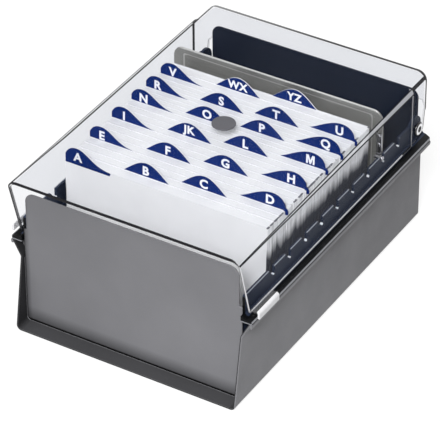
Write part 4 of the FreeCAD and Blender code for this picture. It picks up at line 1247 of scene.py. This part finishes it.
def guide_card(name):
    """The outline goes round the card and over its hump. The two faces take the printed stock,
    and the cut edge, whose normals point away from Y, the plain one."""
    tab_left = CARD_LEFT + COLUMN[name] * TAB_PITCH
    along, height = smooth_curve(HUMPS[COLUMN[name]])
    hump = np.stack([tab_left + TAB_WIDTH * along, CARD_HEIGHT + TAB_RISE * height], 1)[::-1]
    corners = [(CARD_LEFT, 0), (CARD_RIGHT, 0), (CARD_RIGHT, CARD_HEIGHT)]
    outline = np.concatenate([corners, hump, [(CARD_LEFT, CARD_HEIGHT)]])
    foot = foot_of(name)
    loops = [leaning(outline[:, 0], outline[:, 1], depth, foot) for depth in (0, GUIDE_THICK)]
    piece = new_piece(f"guide_card_{name}", *loft(loops), smooth=False)
    mesh = piece.data
    y, z = spots_of(mesh)[:, 1:].T / MM - [[foot], [CARD_REST]]
    mark_print(mesh, y * math.sin(LEAN) + z * math.cos(LEAN) - CARD_HEIGHT)
    mesh.materials.append(GUIDE_STOCK)
    mesh.materials.append(CARD_EDGE)
    faces = np.array([face.normal.y for face in mesh.polygons])
    mesh.polygons.foreach_set("material_index", (np.abs(faces) < FACE_ON).astype(int))
    return piece


def print_patch(name, corners, foot, depths=(INK_FACE, INK_IN)):
    """A patch of ink on a card's face, a few hundredths of a millimetre thick."""
    outline = np.asarray(corners, float)
    loops = [leaning(outline[:, 0], outline[:, 1], depth, foot) for depth in depths]
    patch = new_piece(name, *loft(loops), smooth=False)
    mark_print(patch.data, np.ones(len(patch.data.vertices)))
    patch.data.materials.append(GUIDE_STOCK)
    return patch


for name in GUIDES:
    piece = guide_card(name)
    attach(piece, f"section_{name}")
    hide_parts(f"guide_{name}")

# On the first guide the print runs on a little below the tab.
tab_end = CARD_LEFT + TAB_WIDTH
first = print_patch(f"print_below_{GUIDES[0]}", [
    (CARD_LEFT + INK_IN, CARD_HEIGHT - PRINT_BELOW), (tab_end, CARD_HEIGHT - PRINT_BELOW),
    (tab_end + INK_SLANT, CARD_HEIGHT - INK_IN), (CARD_LEFT + INK_IN, CARD_HEIGHT + INK_IN)],
    foot_of(GUIDES[0]))
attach(first, f"section_{GUIDES[0]}")
# On the guides of the last column it runs over the card's right edge, as a small ear.
for name in [row[-1] for row in ROWS if len(row) == TAB_COLUMNS]:
    corners = np.add(EAR_CORNERS, (CARD_RIGHT, CARD_HEIGHT))
    ear = print_patch(f"tab_foot_{name}", corners, foot_of(name),
                      (INK_FACE, GUIDE_THICK + INK_IN))
    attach(ear, f"section_{name}")
print("guide cards:", len(GUIDES), "first foot at y", round(foot_of(GUIDES[0]), 2), "mm")

# %% [markdown]
# ### Letters
# The index letters are printed in white on the front of each blue tab. Text is the quickest way to
# draw them: a text curve with a small offset makes the strokes bold, then it becomes a mesh and is
# laid on the tab a few hundredths of a millimetre proud, as thick ink is. Only the M is drawn by
# its corners, because the offset fills the font's own.

# %% Letters
LETTER_SIZE = 5.9
LETTER_BOLD = 0.036
LETTER_SPACING = 1.1
LETTER_RAISE, LETTER_SUNK = 0.05, 0.02
LETTER_DEPTH = 0.01
PAIR_SHARE = 0.92
LETTER_ALONG = (0.28, 0.49, 0.49, 0.66)
LETTER_MIDDLE = (2.55, 2.9, 2.9, 3.0)
M_OUTLINE = ((0, 0), (0, 1), (0.29, 1), (0.5, 0.42), (0.71, 1), (1, 1), (1, 0), (0.79, 0),
             (0.79, 0.66), (0.59, 0), (0.41, 0), (0.21, 0.66), (0.21, 0))


def square_cut_m(flat):
    """The font's own M has a short middle, so one whose middle reaches the line takes its box:
    the outline, given as shares of the box, on two levels that are joined by walls."""
    low, high = flat.min(0), flat.max(0)
    rim = low[:2] + (high - low)[:2] * np.array(M_OUTLINE)
    count = len(rim)
    points = np.concatenate([np.column_stack([rim, np.full(count, level)])
                             for level in (low[2], high[2])])
    near = np.arange(count)
    after = np.roll(near, -1)
    walls = np.stack([after, near, near + count, after + count], 1)
    return points, [near.tolist(), (near[::-1] + count).tolist()] + walls.tolist()


def letter(name):
    """The text is centred on the tab and leaned with it. The curve's own extrusion makes its two
    levels and the walls between them; the front level is raised and the rear one sunk."""
    text = bpy.data.curves.new(f"letter_{name}", "FONT")
    text.body = name.upper()
    text.align_x = "CENTER"
    text.resolution_u = 3
    text.size = 1.0
    text.offset = LETTER_BOLD
    text.space_character = LETTER_SPACING
    text.extrude = LETTER_DEPTH
    holder = bpy.data.objects.new("holder", text)
    bpy.context.scene.collection.objects.link(holder)
    bpy.context.view_layer.update()
    mesh = bpy.data.meshes.new_from_object(holder)
    bpy.data.objects.remove(holder)
    flat = spots_of(mesh)
    faces = [list(face.vertices) for face in mesh.polygons]
    if name == "m":
        flat, faces = square_cut_m(flat)
    size = LETTER_SIZE * (PAIR_SHARE if len(name) > 1 else 1)
    column = COLUMN[name]
    tab_left = CARD_LEFT + column * TAB_PITCH
    middle_x = (flat[:, 0].min() + flat[:, 0].max()) / 2
    middle_y = (flat[:, 1].min() + flat[:, 1].max()) / 2
    across = tab_left + TAB_WIDTH * LETTER_ALONG[column] + (flat[:, 0] - middle_x) * size
    height = CARD_HEIGHT + LETTER_MIDDLE[column] + (flat[:, 1] - middle_y) * size
    depth = np.where(flat[:, 2] > 0, -LETTER_RAISE, LETTER_SUNK)
    return new_piece(f"letter_{name}", leaning(across, height, depth, foot_of(name)), faces, False)


for name in GUIDES:
    piece = letter(name)
    piece.data.materials.append(LETTER_INK)
    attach(piece, f"section_{name}")
print("letters:", len(GUIDES))

# %% [markdown]
# ## The blank cards
# Each pack is a stack of loose cards. A single block would look like a plank, so every card is its
# own thin slab, a little higher, lower or further to one side than the next, by seeded chance.

# %% Card packs
STOCK_THICK = 0.36
CARD_GAP = 0.006
CARD_SLIP = 0.20
CARD_DROP = 0.02
SECTION_GAP = 0.5
TILT_SPARE = 0.05
TILT_MOST = 24.0
chance = np.random.default_rng(7)
# The corners of a slab as shares of its width, height and thickness, and its six faces.
SLAB = np.array([(x, z, t) for t in (0, 1) for x, z in ((0, 0), (1, 0), (1, 1), (0, 1))], float)
SLAB_FACES = [[0, 1, 2, 3], [7, 6, 5, 4], [0, 4, 5, 1], [1, 5, 6, 2], [2, 6, 7, 3], [3, 7, 4, 0]]


def card_pack(name):
    """Slab k starts k steps behind the guide; its corners are 0 or 1 times its width and height,
    plus its own slip to the side and drop from the top. When the fan tips forward to an angle
    past upright, the pack's low rear edge nears the next guide by pitch * (1 - cos(angle)), so
    that much room is left."""
    foot = foot_of(name)
    low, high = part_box(f"cards_{name}")
    deep = (high.y - low.y) / MM - CARD_HEIGHT * math.sin(LEAN)
    pitch = deep / math.cos(LEAN) + SECTION_GAP + GUIDE_THICK
    furthest = TILT_MOST * (1 - (GUIDES.index(name) + 1) / len(GUIDES))
    spare = pitch * (1 - math.cos(math.radians(furthest) - LEAN)) + TILT_SPARE
    deep = pitch - GUIDE_THICK - spare
    count = max(2, int(deep / (STOCK_THICK + CARD_GAP)))
    step = deep / count
    slip = chance.uniform(-CARD_SLIP, CARD_SLIP, count)
    drop = chance.uniform(0, CARD_DROP, count)
    start = GUIDE_THICK + step * np.arange(count)
    across = CARD_LEFT + slip[:, None] + SLAB[:, 0] * CARD_WIDTH
    height = SLAB[:, 1] * (CARD_HEIGHT - drop[:, None])
    depth = start[:, None] + SLAB[:, 2] * (step - CARD_GAP)
    points = leaning(across, height, depth, foot).reshape(-1, 3)
    faces = [[8 * card + k for k in face] for card in range(count) for face in SLAB_FACES]
    return new_piece(f"card_pack_{name}", points, faces, False), count


card_total = 0
for name in GUIDES[:-1]:
    piece, count = card_pack(name)
    card_total += count
    piece.data.materials.append(CARD_STOCK)
    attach(piece, f"section_{name}")
    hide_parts(f"cards_{name}")
print("blank cards:", card_total)

# %% [markdown]
# ## The clear cover
# The real cover is one moulded sheet: a flat top, two sides that curve down from it and a rear wall.
# The sides step in just before the hinge, where they pass inside the ledges, and their lower edge
# rounds the hinge and climbs to the rear wall. A sheet is drawn as a grid, section by section from
# front to rear, and a Solidify modifier gives it the even thickness of a moulding.

# %% Cover stations
# The heel's lower edge is a line through points given as way back and height.
HEEL_RADIUS = 5.7
HEEL = ((80.2, 53.2), (81.1, 59.4), (83.8, 60.6))
HEEL_STATIONS = (80.5, 80.8, 81.1)
WALL_EDGE = 63.0
EDGE_FAR = 9.0
RUN_STATIONS, STEP_STATIONS, HINGE_STATIONS, ARC_STATIONS, END_STATIONS = 40, 8, 5, 12, 9
# Points up a side, round a bend and over half the top.
UP, ROUND, OVER = 22, 17, 30


# %% Cover sheet
def hood_section(half, top, corner, low):
    """One inverted U for every station: up the left side, over the top and down the right.
    The sides run evenly from the low edge to the bend, the bend is a quarter circle of the
    corner's radius, and the top runs evenly across."""
    half, top, corner, low = (np.asarray(v, float)[:, None] for v in (half, top, corner, low))
    share = np.linspace(0, 1, UP)[None, :]
    turn = np.linspace(0, math.pi / 2, ROUND)[None, 1:]
    side_z = low + (top - corner - low) * share
    side_x = half + 0 * share
    bend_x = half - corner + corner * np.cos(turn)
    bend_z = top - corner + corner * np.sin(turn)
    over = np.linspace(1, 0, OVER)[None, 1:]
    over_x = (half - corner) * over
    right_x = np.concatenate([side_x, bend_x, over_x], 1)
    right_z = np.concatenate([side_z, bend_z, top + 0 * over], 1)
    x = np.concatenate([-right_x, right_x[:, -2::-1]], 1)
    z = np.concatenate([right_z, right_z[:, -2::-1]], 1)
    return x, z


def hood_stations():
    """Where each station lies, how low its sides reach, and how far it is drawn in: the long run,
    the step, the hinge's arc, the heel and the rounded rear edge, whose stations move in by
    REAR_CORNER * (1 - cos) and back by REAR_CORNER * sin."""
    share = np.linspace(0, 1, RUN_STATIONS)
    run = np.concatenate([share * (JOGGLE_FROM - COVER_FRONT) + COVER_FRONT,
                          np.linspace(JOGGLE_FROM, JOGGLE_TO, STEP_STATIONS)[1:],
                          np.linspace(JOGGLE_TO, HINGE_Y, HINGE_STATIONS)[1:]])
    arc = np.linspace(0, math.pi / 2, ARC_STATIONS)[1:]
    heel = np.array(HEEL_STATIONS)
    turn = np.linspace(0, math.pi / 2, END_STATIONS)
    end = COVER_REAR - REAR_CORNER + REAR_CORNER * np.sin(turn)
    climb = (WALL_EDGE - HEEL[-1][1]) * (turn * 2 / math.pi) ** 3
    y = np.concatenate([run, HINGE_Y + HEEL_RADIUS * np.sin(arc), heel, end])
    low = np.concatenate([np.full(len(run), COVER_LOW), HINGE_Z - HEEL_RADIUS * np.cos(arc),
                          np.interp(heel, *np.transpose(HEEL)),
                          np.interp(end, *np.transpose(HEEL)) + climb])
    inset = np.zeros(len(y))
    inset[-len(turn):] = REAR_CORNER * (1 - np.cos(turn))
    return y, low, inset


def hood_sheet():
    """The sides step in by a smooth step, 3 * s**2 - 2 * s**3. Each point before it also lies back
    by COVER_RAKE times its depth under the top, less and less from the front to the step."""
    y, low, inset = hood_stations()
    step = np.clip((y - JOGGLE_FROM) / (JOGGLE_TO - JOGGLE_FROM), 0, 1)
    half = COVER_HALF - (COVER_HALF - COVER_HALF_REAR) * step**2 * (3 - 2 * step)
    x, z = hood_section(half - inset, COVER_TOP - inset, COVER_CORNER - inset, low)
    share = np.clip((JOGGLE_FROM - y) / (JOGGLE_FROM - COVER_FRONT), 0, 1)[:, None]
    points = np.stack([x, y[:, None] + (COVER_TOP - z) * COVER_RAKE * share, z], -1)
    rows, columns = x.shape
    faces = grid_faces(rows, columns)
    faces.append(list(range((rows - 1) * columns, rows * columns)))
    return points.reshape(-1, 3), faces


def cover_measures(mesh):
    """Three distances in mm for each point: across, the way up from the lower end of the bend;
    along, the way back from the front; edge, the height above the lower edge of the side."""
    x, y, z = spots_of(mesh).T / MM
    out = np.abs(x)
    bend = COVER_CORNER * np.clip(np.arctan2(z - BEND_Z, out - BEND_X), 0, math.pi / 2)
    flat = COVER_CORNER * math.pi / 2 + BEND_X - out
    across = np.where(z < BEND_Z, z - BEND_Z, np.where(out < BEND_X, flat, bend))
    edge = np.where(y < HINGE_Y, z - COVER_LOW, EDGE_FAR)
    return {"across": across, "along": y - COVER_FRONT, "edge": edge}


def clear_cover():
    """The sheet with its measures stored as attributes, its faces turned out and its wall
    thickened inwards. The inner wall and the rim take the next two materials."""
    piece = new_piece("clear_cover", *hood_sheet())
    work = bmesh.new()
    work.from_mesh(piece.data)
    work.faces.ensure_lookup_table()
    top = max(work.faces, key=lambda face: face.calc_center_median().z)
    if top.normal.z < 0:
        bmesh.ops.reverse_faces(work, faces=work.faces)
    work.to_mesh(piece.data)
    work.free()
    for name, values in cover_measures(piece.data).items():
        piece.data.attributes.new(name, "FLOAT", "POINT").data.foreach_set("value", values)
    piece.data.materials.append(CLEAR_LINED)
    piece.data.materials.append(CLEAR_PLASTIC)
    piece.data.materials.append(CLEAR_RIM)
    wall = piece.modifiers.new("wall thickness", "SOLIDIFY")
    wall.thickness = COVER_THICK * MM
    wall.offset = -1
    wall.use_even_offset = True
    wall.use_rim = True
    wall.material_offset = 1
    wall.material_offset_rim = 2
    return piece


cover = clear_cover()
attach(cover, "cover_body")
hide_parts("cover")
print("clear cover:", len(cover.data.polygons), "faces")

# %% [markdown]
# ### Finger grips
# Near the front a short flange turns out from each side, with a lip turned down, so that two
# fingers can lift the cover. It is the cover's own plastic, bent like a small angle.

# %% Finger grips
GRIP_BEND = 0.9

for side, sign in (("left", -1), ("right", 1)):
    level = GRIP_TOP - COVER_THICK / 2
    lip_x = GRIP_OUT - COVER_THICK / 2
    path = bent_path([(sign * COVER_HALF, level), (sign * lip_x, level),
                      (sign * lip_x, GRIP_TOP - GRIP_DROP)], [GRIP_BEND])
    grip = new_piece(f"finger_grip_{side}",
                     *bent_strip(path, COVER_THICK, "XZ", GRIP_FRONT, GRIP_FRONT + GRIP_LENGTH))
    finish_piece(soften(grip, THIN_EDGE, angle=40), "cover_body", WHITE_LIP)

# %% [markdown]
# ## The badge
# A plain round disc is fixed to the top of the cover. It is left blank. It is turned, with a small
# rounded rim and a shallow dished face.

# %% Badge
BADGE_RADIUS, BADGE_THICK = 5.4, 0.6
BADGE_Y = (COVER_FRONT + COVER_REAR) / 2
RIM_ROUND, RIM_STEPS, BADGE_EDGE = 0.22, 6, 0.05
FOOT_RISE, FOOT_SET_IN = 0.1, 0.12
DISH_FROM, DISH_TO, DISH_DEPTH = 0.55, 0.7, 0.08


def badge_disc():
    """The profile climbs a small foot chamfer, goes round the rim by RIM_ROUND * sin and cos, and
    drops into the dished face."""
    face = COVER_TOP + BADGE_THICK
    turn = np.linspace(0, math.pi / 2, RIM_STEPS)
    rim = np.stack([face - RIM_ROUND + RIM_ROUND * np.sin(turn),
                    BADGE_RADIUS - RIM_ROUND + RIM_ROUND * np.cos(turn)], 1)
    profile = np.concatenate([
        [(COVER_TOP, BADGE_RADIUS - FOOT_SET_IN), (COVER_TOP + FOOT_RISE, BADGE_RADIUS)], rim,
        [(face, BADGE_RADIUS - DISH_FROM), (face - DISH_DEPTH, BADGE_RADIUS - DISH_TO)]])
    return new_piece("badge_disc", *turned(profile, "XY", (0, BADGE_Y), segments=72))


badge = soften(badge_disc(), BADGE_EDGE, segments=1, angle=60)
finish_piece(badge, "cover_body", DISC_ENAMEL, ["badge"])

# %% [markdown]
# ## The stage
# The tray stands on a nearly white floor under soft light. The camera is a long lens, well back
# and high over the front right corner, so the sides stay nearly parallel.

# %% Camera
AZIMUTH, ELEVATION, ROLL = (math.radians(a) for a in (31.17, 35.79, -0.25))
LENS, SENSOR = 258.05, 36.0
NEAR, FAR = 0.05, 10
DISTANCE, ASIDE, ABOVE = 1418.5, -1.07, 27.44
MIDDLE = np.array([0, -1.2, 0])
level_toward = np.array([math.sin(AZIMUTH), -math.cos(AZIMUTH), 0])
toward = level_toward * math.cos(ELEVATION) + np.array([0, 0, math.sin(ELEVATION)])
level_right = np.array([math.cos(AZIMUTH), math.sin(AZIMUTH), 0])
level_up = np.cross(toward, level_right)
right = math.cos(ROLL) * level_right + math.sin(ROLL) * level_up
up = np.cross(toward, right)
place = ASIDE * right + ABOVE * up + DISTANCE * toward + MIDDLE
lens = bpy.data.cameras.new("camera")
lens.lens = LENS
lens.sensor_width = SENSOR
lens.sensor_fit = "HORIZONTAL"
lens.clip_start = NEAR
lens.clip_end = FAR
camera = bpy.data.objects.new("camera", lens)
bpy.context.scene.collection.objects.link(camera)
matrix = np.eye(4)
matrix[:3, 0], matrix[:3, 1], matrix[:3, 2], matrix[:3, 3] = right, up, toward, place * MM
camera.matrix_world = Matrix(matrix.tolist())
bpy.context.scene.camera = camera
print("camera at", np.round(place, 1).tolist(), "mm")


# %% Lamps
def lamp(name, spot, size, power, aim=(0, 0, 0.03)):
    """A square soft lamp that faces a point; places and sizes are in metres."""
    light = bpy.data.lights.new(name, "AREA")
    light.shape = "SQUARE"
    light.size = size
    light.energy = power
    holder = bpy.data.objects.new(name, light)
    holder.location = spot
    direction = Vector(spot) - Vector(aim)
    holder.rotation_euler = direction.to_track_quat("Z", "Y").to_euler()
    bpy.context.scene.collection.objects.link(holder)
    print(name, "lamp:", power, "W")


lamp("key", (0.72, -1.62, 1.63), 0.65, 62)
lamp("left fill", (-1.6, -1.0, 1.0), 0.8, 6)
lamp("rear fill", (-0.3, 1.4, 1.2), 1.0, 3)

# %% [markdown]
# ### World and floor
# The light from all round is weak, but rays that look at the surroundings, straight or by way of
# metal and clear plastic, see white. The floor does the same: it keeps the tray's shadow, and looks
# nearly white where none falls.

# %% World
WHITE = (1, 1, 1, 1)
STAGE_WHITE = 1.0
LIGHT_FROM_ALL_ROUND = 0.36


def seen_directly(tree):
    """One for rays that look at the surroundings: camera, glossy and transmission rays."""
    path = node(tree, "ShaderNodeLightPath")
    return highest(tree, path.outputs["Is Camera Ray"], path.outputs["Is Glossy Ray"],
                   path.outputs["Is Transmission Ray"])


world = bpy.data.worlds.new("studio")
world.use_nodes = True
bpy.context.scene.world = world
tree = world.node_tree
tree.nodes.clear()
sky = node(tree, "ShaderNodeBackground", {"Color": WHITE, "Strength": LIGHT_FROM_ALL_ROUND})
backdrop = node(tree, "ShaderNodeBackground", {"Color": WHITE, "Strength": STAGE_WHITE})
either = shaders_mixed(tree, seen_directly(tree), sky.outputs[0], backdrop.outputs[0])
node(tree, "ShaderNodeOutputWorld", {"Surface": either})
print("light from all round:", LIGHT_FROM_ALL_ROUND)

# %% Floor
FLOOR_GRAY = ((0.24, 0.24, 0.24), (0.26, 0.26, 0.26))
FLOOR_GLOW, CLOUD_SIZE = 0.80, 300
FLOOR_REACH, FLOOR_TOP, FLOOR_UNDER = 3000, -0.02, -20

floor_paint, tree = start_finish("stage floor")
cloud = noise(tree, place_of(tree), CLOUD_SIZE, 2)
tone = blended(tree, between(tree, cloud, 0, 1), *FLOOR_GRAY)
matt = node(tree, "ShaderNodeBsdfDiffuse", {"Color": tone})
glow = node(tree, "ShaderNodeEmission", {"Color": WHITE, "Strength": FLOOR_GLOW})
both = node(tree, "ShaderNodeAddShader", {0: matt.outputs[0], 1: glow.outputs[0]})
shown = shaders_mixed(tree, seen_directly(tree), matt.outputs[0], both.outputs[0])
node(tree, "ShaderNodeOutputMaterial", {"Surface": shown})
square = [(-FLOOR_REACH, -FLOOR_REACH), (FLOOR_REACH, -FLOOR_REACH), (FLOOR_REACH, FLOOR_REACH),
          (-FLOOR_REACH, FLOOR_REACH)]
floor = new_piece("stage_floor", *prism(square, "XY", FLOOR_UNDER, FLOOR_TOP), smooth=False)
floor.data.materials.append(floor_paint)
bpy.context.scene.view_settings.view_transform = "Standard"
print("floor:", 2 * FLOOR_REACH * MM, "m across")
